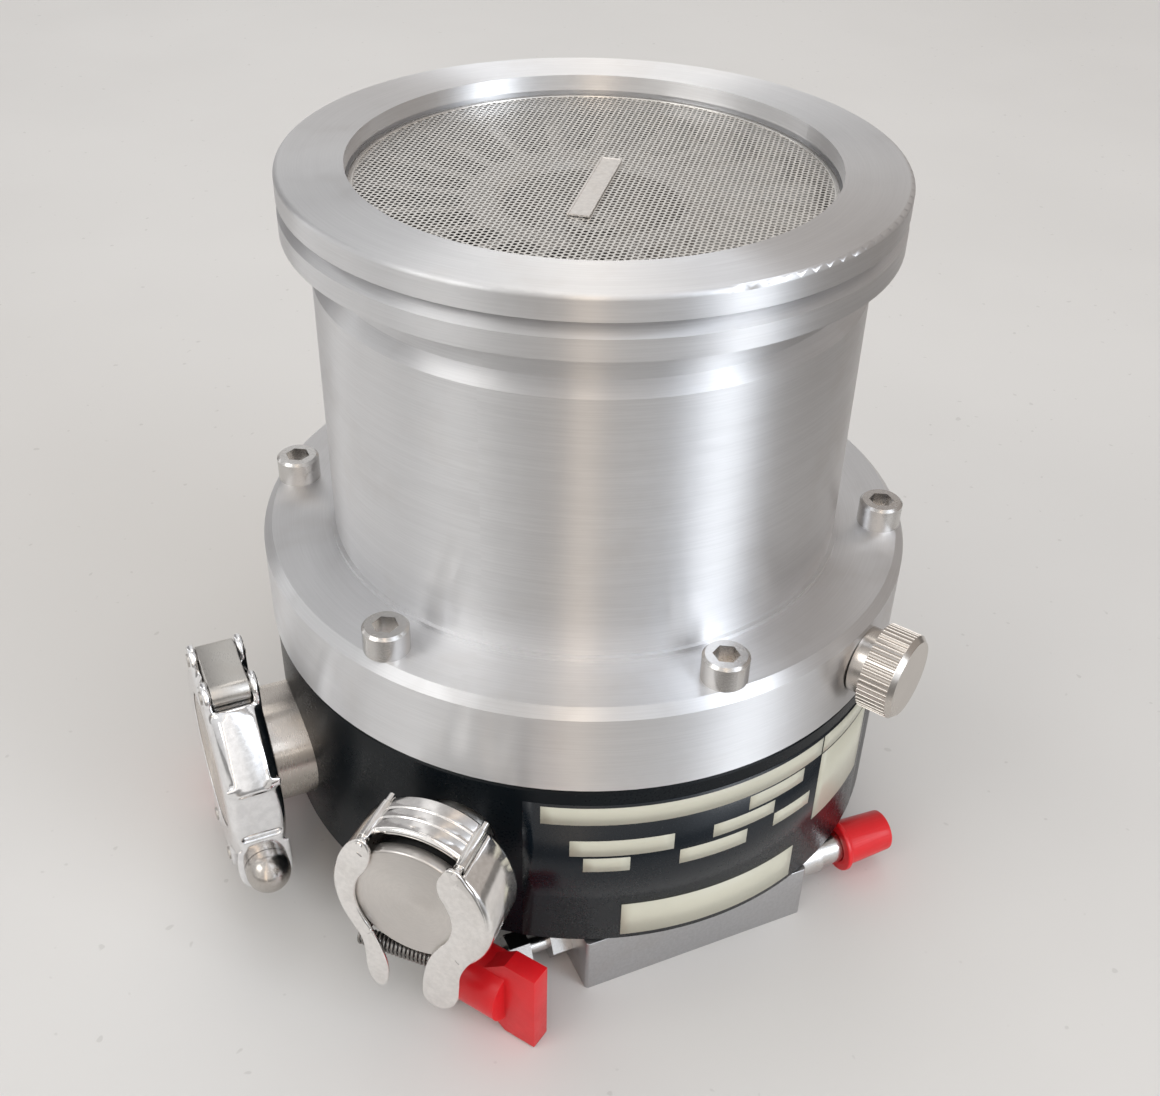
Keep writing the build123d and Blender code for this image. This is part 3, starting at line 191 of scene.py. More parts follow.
def plain_metal(name, base, roughness=0.25, grain=900.0, stretch=(1, 1, 1), depth=0.05, blotch=0.08,
                scratch=0.0):
    """Rolled, pressed or polished metal with light stains, and fine scratches where asked."""
    stain = (0.42, 0.36, 0.30)
    made, tree = new_material(name)
    position = tree.add("ShaderNodeTexCoord").outputs["Object"]
    stretched = tree.add("ShaderNodeMapping", {"Vector": position, "Scale": stretch}).outputs[0]
    fine = tree.noise(stretched, grain, 3.0, 0.6)
    cloud = tree.noise(position, 120.0, 4.0, 0.6, 0.6)
    colour = tree.mix(tree.span(fine, 0.3, 0.7), *shades(base, 0.93, 1.05))
    colour = tree.mix(tree.math("MULTIPLY", tree.span(cloud, 0.48, 0.7), blotch), colour, stain)
    rough = tree.math("ADD", tree.span(fine, 0.2, 0.8, roughness - 0.03, roughness + 0.05),
                      tree.span(cloud, 0.4, 0.75, 0.0, 0.07))
    height = fine
    if scratch:
        skewed = tree.add("ShaderNodeMapping", {
            "Vector": position, "Rotation": (0.4, 0.9, 0.3), "Scale": (1.0, 9.0, 1.0)}).outputs[0]
        wave = tree.noise(skewed, 260.0, 2.0, 0.5, 1.2)
        off_middle = tree.math("ABSOLUTE", tree.math("SUBTRACT", wave, 0.5))
        line = tree.math("SUBTRACT", 1.0, tree.span(off_middle, 0.0, 0.035))
        patch = tree.span(tree.noise(position, 90.0, 2.0), 0.47, 0.6)
        scratches = tree.math("MULTIPLY", tree.math("MULTIPLY", line, patch), scratch)
        height = tree.math("SUBTRACT", tree.math("MULTIPLY", fine, 0.3), scratches)
        rough = tree.math("ADD", rough, tree.math("MULTIPLY", scratches, 0.25))
    bump = tree.add("ShaderNodeBump", {"Strength": depth, "Distance": 0.0005, "Height": height})
    shader = tree.add("ShaderNodeBsdfPrincipled", {
        "Base Color": colour, "Metallic": 1.0, "Roughness": rough, "Normal": bump.outputs[0]})
    tree.add("ShaderNodeOutputMaterial", {"Surface": shader.outputs[0]})
    return made


def coat(name, base, roughness, grain=1500.0, depth=0.04, mottle=0.1, dust=0.0, specular=0.5,
         subsurface=0.0):
    """Paint, print, rubber or plastic: an even colour with faint grain, mottling and dust."""
    dust_colour = (0.35, 0.34, 0.32)
    made, tree = new_material(name)
    position = tree.add("ShaderNodeTexCoord").outputs["Object"]
    fine = tree.noise(position, grain, 2.0, 0.5)
    cloud = tree.noise(position, 70.0, 4.0, 0.6)
    colour = tree.mix(tree.span(cloud, 0.35, 0.7), base, [c * (1 - mottle) for c in base])
    if dust:
        specks = tree.math("MULTIPLY", tree.span(tree.noise(position, 900.0, 2.0), 0.66, 0.78), dust)
        colour = tree.mix(specks, colour, dust_colour)
    rough = tree.math("ADD", tree.span(fine, 0.2, 0.8, roughness - 0.03, roughness + 0.04),
                      tree.span(cloud, 0.4, 0.75, 0.0, 0.06))
    bump = tree.add("ShaderNodeBump", {"Strength": depth, "Distance": 0.0005, "Height": fine})
    shader = tree.add("ShaderNodeBsdfPrincipled", {
        "Base Color": colour, "Roughness": rough, "Normal": bump.outputs[0],
        "Specular IOR Level": specular})
    if subsurface:
        shader.inputs["Subsurface Weight"].default_value = subsurface
        shader.inputs["Subsurface Radius"].default_value = (1.0, 0.25, 0.2)
        shader.inputs["Subsurface Scale"].default_value = 0.0015
    tree.add("ShaderNodeOutputMaterial", {"Surface": shader.outputs[0]})
    return made


def build_room():
    world = bpy.data.worlds.new("room")
    world.use_nodes = True
    scene.world = world
    tree = Nodes(world.node_tree)
    direction = tree.vector("NORMALIZE", tree.add("ShaderNodeTexCoord").outputs["Generated"])
    x, y, height = tree.add("ShaderNodeSeparateXYZ", {0: direction}).outputs
    wall = tree.mix(tree.span(height, -0.2, 0.9), (0.66, 0.65, 0.64), (0.90, 0.90, 0.90))

    def strip(behind, azimuth, half, soft, colour, weight):
        """A tall window, doorway or wall of the room, at an azimuth in degrees."""
        turn = math.radians(azimuth)
        level = tree.add("ShaderNodeCombineXYZ", {0: x, 1: y, 2: 0.0}).outputs[0]
        flat = tree.vector("NORMALIZE", level)
        near = tree.vector("DOT_PRODUCT", flat, (math.cos(turn), math.sin(turn), 0.0), out=1)
        edge = [math.cos(math.radians(bound)) for bound in (half + soft, max(half - soft, 0.0))]
        return tree.mix(tree.span(near, *edge, 0.0, weight), behind, colour)

    # Azimuth, half width and softness in degrees, then colour and weight.
    strips = {
        "warm_wall": (8, 48, 14, (0.47, 0.43, 0.40), 0.92),
        "dark_doorway": (108, 16, 8, (0.22, 0.21, 0.21), 0.8),
        "cool_window": (-61, 15, 6, (1.75, 1.85, 2.0), 0.95),
        "front_wall": (-98, 9, 5, (1.12, 1.09, 1.06), 0.9),
        "shaded_wall": (-130, 8, 5, (0.86, 0.82, 0.79), 0.8),
        "left_wall": (-152, 16, 8, (1.05, 1.03, 1.0), 0.85),
        "warm_lamp": (-115.5, 4.0, 2.0, (2.7, 2.3, 1.9), 0.95),
        "rear_lamp": (131, 3.5, 2.0, (1.7, 1.7, 1.7), 0.9),
    }
    for placed in strips.values():
        wall = strip(wall, *placed)
    background = tree.add("ShaderNodeBackground", {"Color": wall, "Strength": 0.95})
    tree.add("ShaderNodeOutputWorld", {"Surface": background.outputs[0]})

    def lamp(name, place, target, size, power, colour):
        data = bpy.data.lights.new(name, "AREA")
        data.shape = "RECTANGLE"
        data.size, data.size_y = size
        data.energy = power
        data.color = colour
        made = bpy.data.objects.new(name, data)
        scene.collection.objects.link(made)
        made.location = place
        aim = Vector(target) - Vector(place)
        made.rotation_euler = aim.to_track_quat("-Z", "Y").to_euler()

    lamp("ceiling_panel", (0.16, 0.34, 1.1), (0, 0, 0.08), (0.45, 0.45), 0.9, (1.0, 0.96, 0.90))
    lamp("window_side", (0.46, -0.83, 0.50), (0, 0, 0.1), (0.3, 0.4), 2.0, (0.92, 0.96, 1.0))
    lamp("far_window", (-1.0, -0.15, 0.9), (0, 0, 0.05), (0.6, 0.5), 2.4, (1.0, 0.99, 0.97))

    floor_paint, tree = new_material("bench_surface")
    position = tree.add("ShaderNodeTexCoord").outputs["Object"]
    cloud = tree.noise(position, 6.0, 3.0)
    colour = tree.mix(tree.span(cloud, 0.3, 0.7), (0.715, 0.705, 0.69), (0.69, 0.68, 0.665))
    specks = tree.span(tree.noise(position, 240.0, 1.0), 0.735, 0.78, 0.0, 0.35)
    colour = tree.mix(specks, colour, (0.45, 0.44, 0.42))
    # The bench turns dark outside the view, in front and to the right, for the reflections.
    near = tree.vector("DOT_PRODUCT", position, (-0.396, -0.918, 0.0), out=1)
    side = tree.vector("DOT_PRODUCT", position, (0.77, -0.64, 0.0), out=1)
    edge = tree.math("MAXIMUM", tree.span(near, 0.125, 0.20), tree.span(side, 0.20, 0.28))
    colour = tree.mix(edge, colour, (0.14, 0.135, 0.13))
    shader = tree.add("ShaderNodeBsdfPrincipled", {"Base Color": colour, "Roughness": 0.42,
                                                   "Specular IOR Level": 0.35})
    tree.add("ShaderNodeOutputMaterial", {"Surface": shader.outputs[0]})
    shape = bmesh.new()
    bmesh.ops.create_grid(shape, x_segments=1, y_segments=1, size=3.0)
    mesh = bpy.data.meshes.new("bench")
    shape.to_mesh(mesh)
    shape.free()
    mesh.materials.append(floor_paint)
    bench = bpy.data.objects.new("bench", mesh)
    scene.collection.objects.link(bench)


# ---- finishes ----------------------------------------------------------------
backing_line = (-1, 0, 0), (0, 0, BACKING_HEIGHT * MM)  # axis and a point on it
side_line = tuple(polar(1000, SIDE_ANGLE)), (0, 0, SIDE_HEIGHT * MM)
vent_line = tuple(polar(1000, VENT_ANGLE)), (0, 0, VENT_HEIGHT * MM)

metals = {
    "machined_aluminium": dict(base=(0.74, 0.74, 0.74), roughness=0.33, grain=1200.0, stretch=(1, 12, 1)),
    "block_aluminium": dict(base=(0.50, 0.50, 0.51), roughness=0.36, grain=1200.0, stretch=(1, 12, 1)),
    "clamp_chrome": dict(base=(0.90, 0.90, 0.91), roughness=0.08, grain=700.0, depth=0.03, blotch=0.04,
                         scratch=0.3),
    "link_stainless": dict(base=(0.58, 0.56, 0.53), roughness=0.28, stretch=(12, 1, 1), depth=0.06),
    "nut_stainless": dict(base=(0.52, 0.49, 0.46), roughness=0.22, grain=1500.0, depth=0.06, blotch=0.15),
    "clip_stainless": dict(base=(0.88, 0.86, 0.84), roughness=0.09, grain=800.0, depth=0.02, scratch=0.15),
    "bright_screw": dict(base=(0.60, 0.585, 0.57), roughness=0.2, grain=1600.0, stretch=(1, 1, 4), depth=0.08,
                         blotch=0.25),
    "screen_steel": dict(base=(0.84, 0.82, 0.79), roughness=0.40, depth=0.03, blotch=0.1),
    "screen_plate": dict(base=(0.84, 0.81, 0.78), roughness=0.42, blotch=0.1),
    "wire": dict(base=(0.25, 0.24, 0.23), roughness=0.3, depth=0.03, blotch=0.2),
    "magnet": dict(base=(0.32, 0.32, 0.33), roughness=0.3),
}
lathe_metals = {
    "turned_aluminium": dict(base=(0.80, 0.80, 0.81), roughness=0.42, anisotropic=0.94, depth=0.25),
    "rotor_aluminium": dict(base=(0.52, 0.50, 0.48), roughness=0.38, streak=200.0, anisotropic=0.2),
    "port_stainless": dict(base=(0.66, 0.61, 0.56), roughness=0.25, axis=backing_line[0],
                           centre=backing_line[1], anisotropic=0.96, depth=0.03),
    "side_stainless": dict(base=(0.84, 0.82, 0.79), roughness=0.28, axis=side_line[0],
                           centre=side_line[1], anisotropic=0.96, depth=0.02),
    "blank_stainless": dict(base=(0.70, 0.67, 0.64), roughness=0.30, axis=side_line[0],
                            centre=side_line[1], soil=0.25, line=0.0005),
    "knob_stainless": dict(base=(0.60, 0.56, 0.52), roughness=0.22, axis=vent_line[0],
                           centre=vent_line[1], soil=0.2, anisotropic=0.3, depth=0.1),
    "bearing_steel": dict(base=(0.75, 0.75, 0.76), roughness=0.15),
    "screen_rim": dict(base=(0.80, 0.78, 0.75), roughness=0.25),
}
coats = {
    "black_coat": dict(base=(0.0045, 0.0070, 0.0095), roughness=0.28, grain=1800.0, depth=0.03, mottle=0.2,
                       dust=0.04, specular=0.12),
    "label_print": dict(base=(0.60, 0.59, 0.49), roughness=0.35, grain=1600.0, depth=0.02, mottle=0.05,
                        specular=0.4),
    "label_film": dict(base=(0.004, 0.0075, 0.012), roughness=0.24, grain=1600.0, depth=0.02, dust=0.03,
                       specular=0.35),
    "winding": dict(base=(0.30, 0.09, 0.03), roughness=0.3, grain=2500.0, depth=0.2, mottle=0.3),
    "cage_plastic": dict(base=(0.25, 0.12, 0.05), roughness=0.45),
    "black_rubber": dict(base=(0.012, 0.012, 0.012), roughness=0.6),
    "red_plastic": dict(base=(0.72, 0.008, 0.014), roughness=0.32, grain=900.0, depth=0.05, mottle=0.12,
                        subsurface=0.25),
}
finish = {}
for make_finish, recipes in ((plain_metal, metals), (turned_metal, lathe_metals), (coat, coats)):
    for name, recipe in recipes.items():
        finish[name] = make_finish(name, **recipe)

node_finish = {
    "turned_aluminium": ["casing"],
    "block_aluminium": ["base_block"],
    "machined_aluminium": ["stator_discs", "spacer_rings", "bearing_support", "bearing_carrier"],
    "rotor_aluminium": ["turbine_rotor"],
    "black_coat": ["base_housing", "end_cap"],
    "port_stainless": ["backing_port", "backing_blank_flange", "backing_centring_ring"],
    "side_stainless": ["side_port", "side_centring_ring"],
    "blank_stainless": ["side_blank_flange"],
    "clamp_chrome": ["clamp_front_half", "clamp_back_half"],
    "link_stainless": ["clamp_link", "clamp_pins", "clamp_stud"],
    "nut_stainless": ["clamp_nut"],
    "clip_stainless": ["clip_jaw_left", "clip_jaw_right", "clip_link_band", "clip_pins"],
    "knob_stainless": ["vent_knob", "vent_valve_body", "vent_stem"],
    "bright_screw": ["casing_screws", "base_block_screws", "support_screws", "rotor_washer", "rotor_bolt",
                     "shaft_nut", "preload_ring", "front_pipe", "front_swivel", "rear_pipe", "right_spigot"],
    "bearing_steel": ["rotor_shaft", "upper_bearing_inner", "upper_bearing_outer", "lower_bearing_inner",
                      "lower_bearing_outer"],
    "screen_steel": ["inlet_screen"],
    "wire": ["clip_spring"],
    "magnet": ["motor_magnet"],
    "winding": ["motor_stator"],
    "cage_plastic": ["upper_bearing_cage", "lower_bearing_cage"],
    "black_rubber": ["casing_o_ring", "backing_o_ring", "side_o_ring", "vent_seal"],
    "red_plastic": ["front_wing_cap", "rear_wing_cap", "right_cap"],
}


def paint_nodes():
    for look, names in node_finish.items():
        for name in names:
            mesh = nodes[name].data
            mesh.materials.clear()
            mesh.materials.append(finish[look])


def new_piece(name, shape, look, body, smooth=True):
    """Make a mesh object of a bmesh, in place, and let it ride on a body."""
    mesh = bpy.data.meshes.new(name)
    shape.to_mesh(mesh)
    shape.free()
    mesh.materials.append(look)
    if smooth:
        mesh.shade_smooth()
    piece = bpy.data.objects.new(name, mesh)
    scene.collection.objects.link(piece)
    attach(piece, body)
    return piece


def port_frame(angle, height, reach):
    """From a port's own millimetres (across, up, outwards) to the model's metres."""
    out = polar(1 / MM, angle)
    across = Z_AXIS.cross(out)
    place = out * reach + Z_AXIS * height
    turn = Matrix((across, Z_AXIS, out)).transposed().to_4x4()
    return Matrix.Scale(MM, 4) @ Matrix.Translation(place) @ turn


def place_shape(shape, matrix):
    bmesh.ops.remove_doubles(shape, verts=shape.verts, dist=0.002)
    bmesh.ops.transform(shape, matrix=matrix, verts=shape.verts)
    bmesh.ops.recalc_face_normals(shape, faces=shape.faces)
    return shape


def profile_loop(shape, points, round_off=0.0, segments=3):
    """A closed outline in radius (X) and height (Z); a point's third number is its own rounding."""
    verts = [shape.verts.new((point[0], 0, point[1])) for point in points]
    for index, vert in enumerate(verts):
        shape.edges.new((verts[index - 1], vert))
    sizes = [point[2] if len(point) > 2 else round_off for point in points]
    for size in sorted(set(sizes), reverse=True):
        corners = [vert for vert, own in zip(verts, sizes) if own == size and vert.co.x > 1e-4]
        if size and corners:
            bmesh.ops.bevel(shape, geom=corners, affect="VERTICES", offset=size, profile=0.5,
                            segments=segments + int(2 * size), material=-1, clamp_overlap=True)
    return shape


def turned(points, round_off=0.0, steps=128, first=None, last=None, segments=3):
    """A turned solid about Z, or a sector of one between two angles in degrees."""
    shape = profile_loop(bmesh.new(), points, round_off, segments)
    if first is None:
        bmesh.ops.spin(shape, geom=shape.verts[:] + shape.edges[:], cent=(0, 0, 0), axis=(0, 0, 1),
                       angle=math.tau, steps=steps, use_merge=True)
    else:
        bmesh.ops.rotate(shape, verts=shape.verts, cent=(0, 0, 0),
                         matrix=Matrix.Rotation(math.radians(first), 3, "Z"))
        bmesh.ops.contextual_create(shape, geom=shape.edges[:])
        bmesh.ops.spin(shape, geom=shape.verts[:] + shape.edges[:] + shape.faces[:], cent=(0, 0, 0),
                       axis=(0, 0, 1), angle=math.radians(last - first), steps=steps)
    bmesh.ops.remove_doubles(shape, verts=shape.verts, dist=0.0005)
    bmesh.ops.recalc_face_normals(shape, faces=shape.faces)
    return shape


def sheet(points, thickness, edge):
    """A flat sheet cut to a smooth outline, its edges rounded; its middle lies at Z = 0."""
    data = bpy.data.curves.new("outline", "CURVE")
    data.dimensions = "2D"
    data.fill_mode = "BOTH"
    data.extrude = thickness / 2 - edge
    data.bevel_depth = edge
    data.bevel_resolution = 2
    data.offset = -edge
    spline = data.splines.new("BEZIER")
    spline.bezier_points.add(len(points) - 1)
    for knot, (x, y) in zip(spline.bezier_points, points):
        knot.co = (x, y, 0)
        knot.handle_left_type = knot.handle_right_type = "AUTO"
    spline.use_cyclic_u = True
    spline.resolution_u = 8
    drawn = bpy.data.objects.new("outline", data)
    mesh = bpy.data.meshes.new_from_object(drawn)
    bpy.data.objects.remove(drawn)
    shape = bmesh.new()
    shape.from_mesh(mesh)
    bpy.data.meshes.remove(mesh)
    return shape


def joined(*shapes):
    """Several closed shapes in one mesh."""
    whole = bmesh.new()
    for shape in shapes:
        mesh = bpy.data.meshes.new("part")
        shape.to_mesh(mesh)
        shape.free()
        whole.from_mesh(mesh)
        bpy.data.meshes.remove(mesh)
    return whole


def softened(name, width, look, body):
    """A finely rounded copy of a piece, shown in its place."""
    flat_angle, sharp_angle = math.radians(1.0), math.radians(30.0)
    shape = bmesh.new()
    shape.from_mesh(nodes[name].data)
    bmesh.ops.transform(shape, matrix=nodes[name].matrix_world, verts=shape.verts)
    bmesh.ops.remove_doubles(shape, verts=shape.verts, dist=0.002 * MM)
    bmesh.ops.dissolve_limit(shape, angle_limit=flat_angle, verts=shape.verts, edges=shape.edges)
    edges = [edge for edge in shape.edges
             if len(edge.link_faces) == 2 and edge.calc_face_angle() > sharp_angle]
    bmesh.ops.bevel(shape, geom=edges, affect="EDGES", offset=width * MM, segments=3, profile=0.5,
                    material=-1, clamp_overlap=True)
    bmesh.ops.recalc_face_normals(shape, faces=shape.faces)
    piece = new_piece(name + "_soft", shape, finish[look], body)
    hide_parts(name)


def polished(name, rounds, added=None):
    """A copy of a clamp half with all of its form rounded, as polishing leaves a forging."""
    voxel = 0.35
    mesh = nodes[name].data.copy()
    if added:
        whole = joined(added)
        whole.from_mesh(mesh)
        whole.to_mesh(mesh)
        whole.free()
    source = bpy.data.objects.new("source", mesh)
    scene.collection.objects.link(source)
    remesh = source.modifiers.new("remesh", "REMESH")
    remesh.mode = "VOXEL"
    remesh.voxel_size = voxel * MM
    smooth = source.modifiers.new("smooth", "SMOOTH")
    smooth.factor = 0.5
    smooth.iterations = rounds
    ready = source.evaluated_get(bpy.context.evaluated_depsgraph_get())
    mesh = bpy.data.meshes.new_from_object(ready)
    bpy.data.objects.remove(source)
    shape = bmesh.new()
    shape.from_mesh(mesh)
    bpy.data.meshes.remove(mesh)
    piece = new_piece(name + "_polished", shape, finish["clamp_chrome"], "pump")
    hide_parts(name)


def build_soft_pieces():
    for name in ("front_wing_cap", "rear_wing_cap"):
        softened(name, 0.7, "red_plastic", name)
    softened("right_cap", 0.4, "red_plastic", "right_cap")
    belly = [(21.2, -6.4), (23.0, -6.4, 1.0), (25.8, -4.4, 1.8), (26.3, 0.0, 3.0), (25.8, 4.4, 1.8),
             (23.0, 6.4, 1.0), (21.2, 6.4)]
    swell = turned(belly, 0.1, 40, 20.0, 66.0)
    swell = place_shape(swell, port_frame(BACKING_ANGLE, BACKING_HEIGHT, JOINT_REACH))
    polished("clamp_front_half", 24, swell)
    polished("clamp_back_half", 14)
    softened("clamp_link", 0.4, "link_stainless", "pump")
    softened("base_block", 0.4, "block_aluminium", "pump")


# ---- inlet screen ------------------------------------------------------------
def build_inlet_screen():
    low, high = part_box("inlet_screen")
    outer = high.x / MM
    bottom = low.z / MM
    pitch, hole, sheet_height, border = 1.32, 0.90, 0.10, 1.3
    mesh_height, rim_height = 0.3, 0.6  # above the underside of the screen
    turn = Matrix.Rotation(math.radians(53.0), 4, "Z")
    to_metres = Matrix.Scale(MM, 4)
    shape = bmesh.new()
    bmesh.ops.create_circle(shape, cap_ends=True, segments=6, radius=pitch / math.sqrt(3))
    centre = shape.faces[:]
    bmesh.ops.inset_region(shape, faces=centre, thickness=(pitch - hole) / 2, use_boundary=True,
                           use_even_offset=True)
    bmesh.ops.delete(shape, geom=centre, context="FACES_ONLY")
    columns = int(2 * outer / pitch) + 2
    cell = shape.verts[:] + shape.edges[:] + shape.faces[:]
    for column in range(1, columns):
        copy = bmesh.ops.duplicate(shape, geom=cell)["geom"]
        bmesh.ops.translate(shape, vec=(column * pitch, 0, 0),
                            verts=[item for item in copy if isinstance(item, bmesh.types.BMVert)])
    bmesh.ops.remove_doubles(shape, verts=shape.verts, dist=0.01)
    bmesh.ops.translate(shape, vec=(-columns * pitch / 2, 0, 0), verts=shape.verts)
    row = shape.verts[:] + shape.edges[:] + shape.faces[:]
    step = pitch * math.sqrt(3) / 2
    reach = int(outer / step) + 1
    for line in range(-reach, reach + 1):
        if line:
            copy = bmesh.ops.duplicate(shape, geom=row)["geom"]
            bmesh.ops.translate(shape, vec=((line % 2) * pitch / 2, line * step, 0),
                                verts=[item for item in copy if isinstance(item, bmesh.types.BMVert)])
    away = [vert for vert in shape.verts if vert.co.length > outer - border / 2]
    bmesh.ops.delete(shape, geom=away, context="VERTS")
    bmesh.ops.remove_doubles(shape, verts=shape.verts, dist=0.01)
    bmesh.ops.solidify(shape, geom=shape.faces[:], thickness=sheet_height)
    middle = sum(vert.co.z for vert in shape.verts) / len(shape.verts)
    bmesh.ops.translate(shape, vec=(0, 0, bottom + mesh_height - middle), verts=shape.verts)
    bmesh.ops.transform(shape, matrix=to_metres @ turn, verts=shape.verts)
    bmesh.ops.recalc_face_normals(shape, faces=shape.faces)
    mesh = new_piece("screen_mesh", shape, finish["screen_steel"], "pump", smooth=False)
    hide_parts("inlet_screen")

    inner, top = outer - border, bottom + rim_height
    rim = turned([(inner, bottom), (outer, bottom), (outer, top), (inner, top)], 0.15, 160)
    bmesh.ops.transform(rim, matrix=to_metres, verts=rim.verts)
    new_piece("screen_rim", rim, finish["screen_rim"], "pump")

    plate_size = (31.5, 4.6, 0.36)
    plate_place = Matrix.Translation((-2.2, -5.6, 0))
    plate = bmesh.new()
    bmesh.ops.create_cube(plate, size=1.0)
    bmesh.ops.scale(plate, vec=plate_size, verts=plate.verts)
    panel = [face for face in plate.faces if face.normal.z > 0.9]
    bmesh.ops.inset_region(plate, faces=panel, thickness=0.55, depth=0.0)
    bmesh.ops.inset_region(plate, faces=panel, thickness=0.15, depth=-0.12)
    bmesh.ops.translate(plate, vec=(0, 0, bottom + 0.75), verts=plate.verts)
    bmesh.ops.transform(plate, matrix=to_metres @ plate_place @ turn, verts=plate.verts)
    new_piece("screen_plate", plate, finish["screen_plate"], "pump", smooth=False)


# ---- bare labels on the black housing ------------------------------------------
def build_labels():
    def patch(name, first, last, low, high, lift=0.1, look="label_print"):
        """A bare panel between two angles in degrees and two heights in millimetres."""
        inner, outer = HOUSING_RADIUS - 0.02, HOUSING_RADIUS + lift
        steps = max(4, int((last - first) / 2))
        corners = [(inner, low), (outer, low), (outer, high), (inner, high)]
        shape = turned(corners, 0.0, steps, first, last)
        bmesh.ops.transform(shape, matrix=Matrix.Scale(MM, 4), verts=shape.verts)
        new_piece(name, shape, finish[look], "pump")

    patch("label_film", -123.5, -49.0, 17.2, 60.6, 0.05, "label_film")
    patch("label_strip", -120.6, -68.5, 54.6, 59.7)
    patch("label_strip_end", -68.1, -51.2, 54.6, 59.7)
    patch("label_square", -68.1, -51.2, 33.0, 54.1)
    patch("label_code", -115.8, -98.4, 44.9, 49.7)
    patch("label_weight", -113.5, -105.7, 40.0, 44.2)
    patch("label_year", -97.2, -84.6, 39.6, 44.0)
    patch("label_serial", -91.4, -79.2, 45.3, 49.2)
    patch("label_type", -84.8, -72.8, 50.0, 54.1)
    patch("label_turn", -78.9, -70.2, 40.6, 44.6)
    patch("label_low", -106.7, -72.6, 18.4, 28.6)


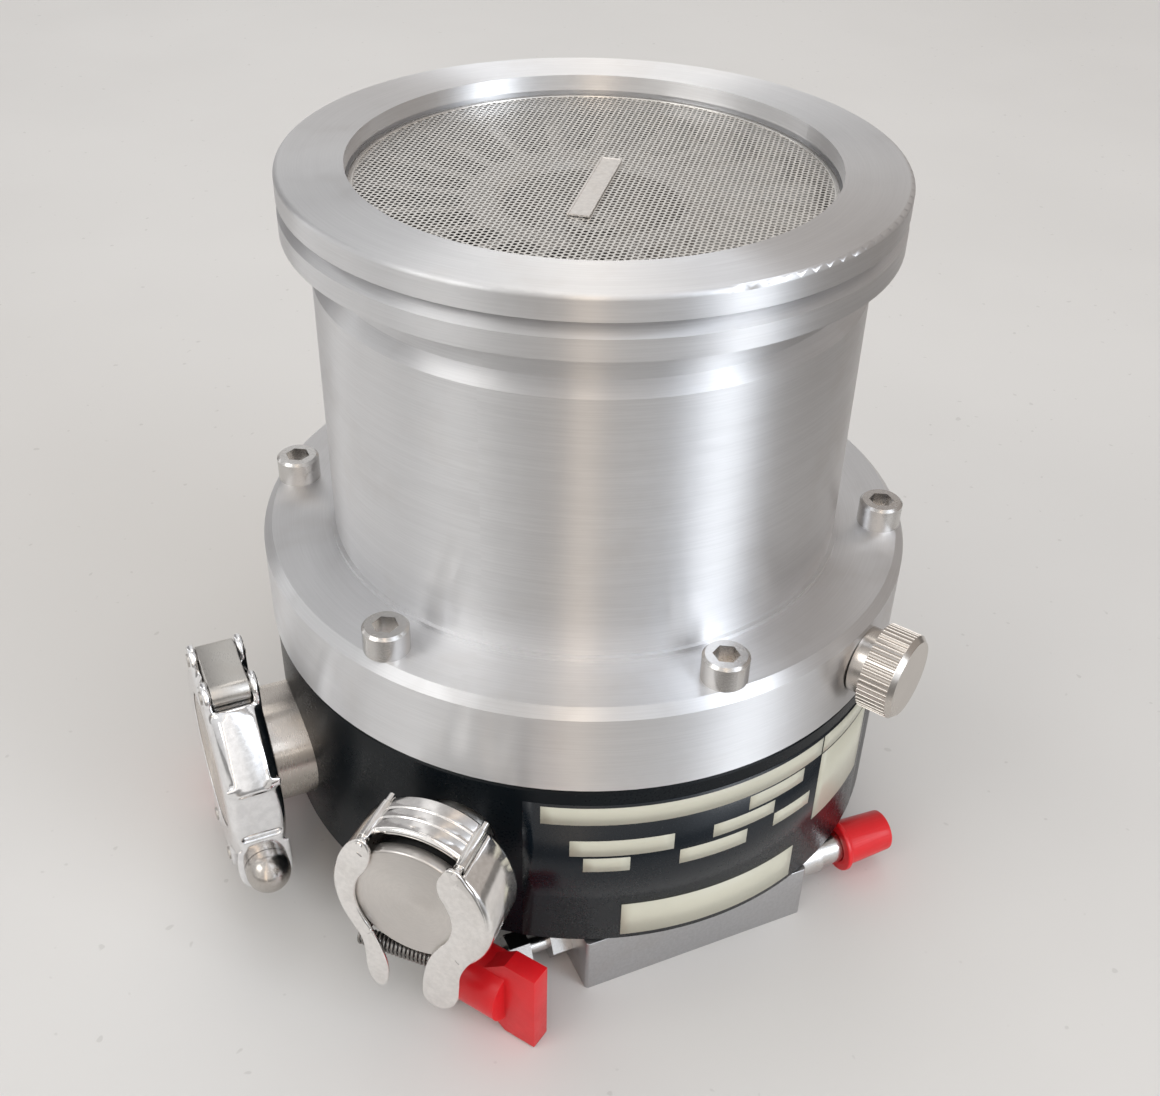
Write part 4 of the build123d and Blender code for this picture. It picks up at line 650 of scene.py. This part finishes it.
# ---- side port: blank flange, clip and spring --------------------------------------
def build_side_clip():
    at_port = port_frame(SIDE_ANGLE, SIDE_HEIGHT, JOINT_REACH)

    def set_in(shape):
        return place_shape(shape, at_port)

    blank = turned([(0.0, 2.2), (11.2, 2.2), (15.0, 3.2), (15.0, 6.1), (0.0, 6.1)], 0.5, 128)
    piece = new_piece("side_blank", set_in(blank), finish["blank_stainless"], "pump")
    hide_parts("side_blank_flange")

    left = [(-12.4, 15.0), (-14.6, 12.2), (-16.9, 6.0), (-17.5, -0.7), (-16.6, -6.4), (-14.6, -10.8),
            (-12.6, -14.6), (-11.9, -19.0), (-11.8, -23.2), (-11.2, -27.2), (-9.4, -29.6), (-7.6, -28.8),
            (-6.8, -26.0), (-6.7, -21.4), (-7.5, -18.1), (-8.7, -14.4), (-10.2, -10.8), (-11.7, -8.0),
            (-12.9, -4.4), (-13.0, -0.6), (-12.0, 3.4), (-9.9, 7.2), (-8.6, 11.0), (-8.7, 14.4),
            (-10.0, 16.2)]
    right = [(9.9, 15.9), (7.2, 13.0), (6.3, 10.2), (6.6, 7.2), (8.0, 4.0), (9.1, 0.4), (8.9, -4.0),
             (7.7, -7.4), (5.6, -10.6), (3.6, -14.5), (2.3, -19.3), (1.6, -24.6), (2.0, -28.6), (4.6, -30.4),
             (7.6, -29.6), (9.6, -26.6), (10.3, -22.0), (10.7, -17.6), (12.2, -13.6), (15.0, -8.8),
             (17.0, -3.0), (17.3, 2.6), (15.8, 8.0), (13.4, 12.4)]
    sheet_thickness, sheet_edge, sheet_middle = 1.05, 0.42, 6.72
    section = [(15.2, -7.25), (18.3, -7.25, 1.6), (18.3, 7.25, 1.6), (15.2, 7.25), (15.2, 6.35),
               (17.4, 6.35, 0.7), (17.4, -6.35, 0.7), (15.2, -6.35)]
    back = [(12.2, -7.3), (17.4, -7.3), (17.4, -6.3), (12.2, -6.3)]
    for name, outline, first, last in (("left", left, 131.0, 231.0), ("right", right, -51.0, 49.0)):
        front = sheet(outline, sheet_thickness, sheet_edge)
        bmesh.ops.translate(front, vec=(0, 0, sheet_middle), verts=front.verts)
        band = turned(section, 0.2, 40, first, last, 2)
        lip = turned(back, 0.3, 40, first, last, 2)
        jaw = joined(front, band, lip)
        piece = new_piece("side_jaw_" + name, set_in(jaw), finish["clip_stainless"], "clip_jaw_" + name)
        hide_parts("clip_jaw_" + name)

    ribs = [(16.9, -7.0), (18.3, -7.0, 0.6), (18.3, -3.6), (17.95, -3.3), (18.3, -3.0), (18.3, -0.8),
            (17.95, -0.5), (18.3, -0.2), (18.3, 3.3, 1.2), (17.0, 3.3), (17.0, 2.6), (17.4, 2.4),
            (17.4, -6.4), (16.9, -6.4)]
    link = turned(ribs, 0.12, 40, 57.0, 123.0, 2)
    knuckle_spread, knuckle_height = 10.7, 14.72
    knuckles = []
    for side in (-1, 1):
        knuckle = turned([(0.8, -5.2), (1.25, -5.2), (1.25, 5.2), (0.8, 5.2)], 0.1, 24)
        bmesh.ops.translate(knuckle, vec=(side * knuckle_spread, knuckle_height, 0), verts=knuckle.verts)
        knuckles.append(knuckle)
    piece = new_piece("side_clip_link", set_in(joined(link, *knuckles)), finish["clip_stainless"], "pump")
    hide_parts("clip_link_band")

    low, high = -14.6, 6.0  # the coil's ends, across the port
    turns, coil, wire = 21, 1.6, 0.38
    along_port = Matrix.Translation((low, -18.8, 4.0)) @ Matrix.Rotation(math.pi / 2, 4, "Y")
    spring = bmesh.new()
    bmesh.ops.create_circle(spring, segments=8, radius=wire, matrix=Matrix.Rotation(math.pi / 2, 4, "X"))
    bmesh.ops.translate(spring, vec=(coil, 0, 0), verts=spring.verts)
    steps = 14 * turns
    bmesh.ops.spin(spring, geom=spring.verts[:] + spring.edges[:], cent=(0, 0, 0), axis=(0, 0, 1),
                   dvec=(0, 0, (high - low) / steps), angle=math.tau * turns, steps=steps)
    bmesh.ops.holes_fill(spring, edges=[edge for edge in spring.edges if edge.is_boundary])
    bmesh.ops.transform(spring, matrix=along_port, verts=spring.verts)
    piece = new_piece("side_clip_spring", set_in(spring), finish["wire"], "pump")
    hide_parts("clip_spring")


build_camera()
build_room()
paint_nodes()
build_inlet_screen()
build_labels()
build_side_clip()
build_soft_pieces()

scene.view_settings.view_transform = "Standard"
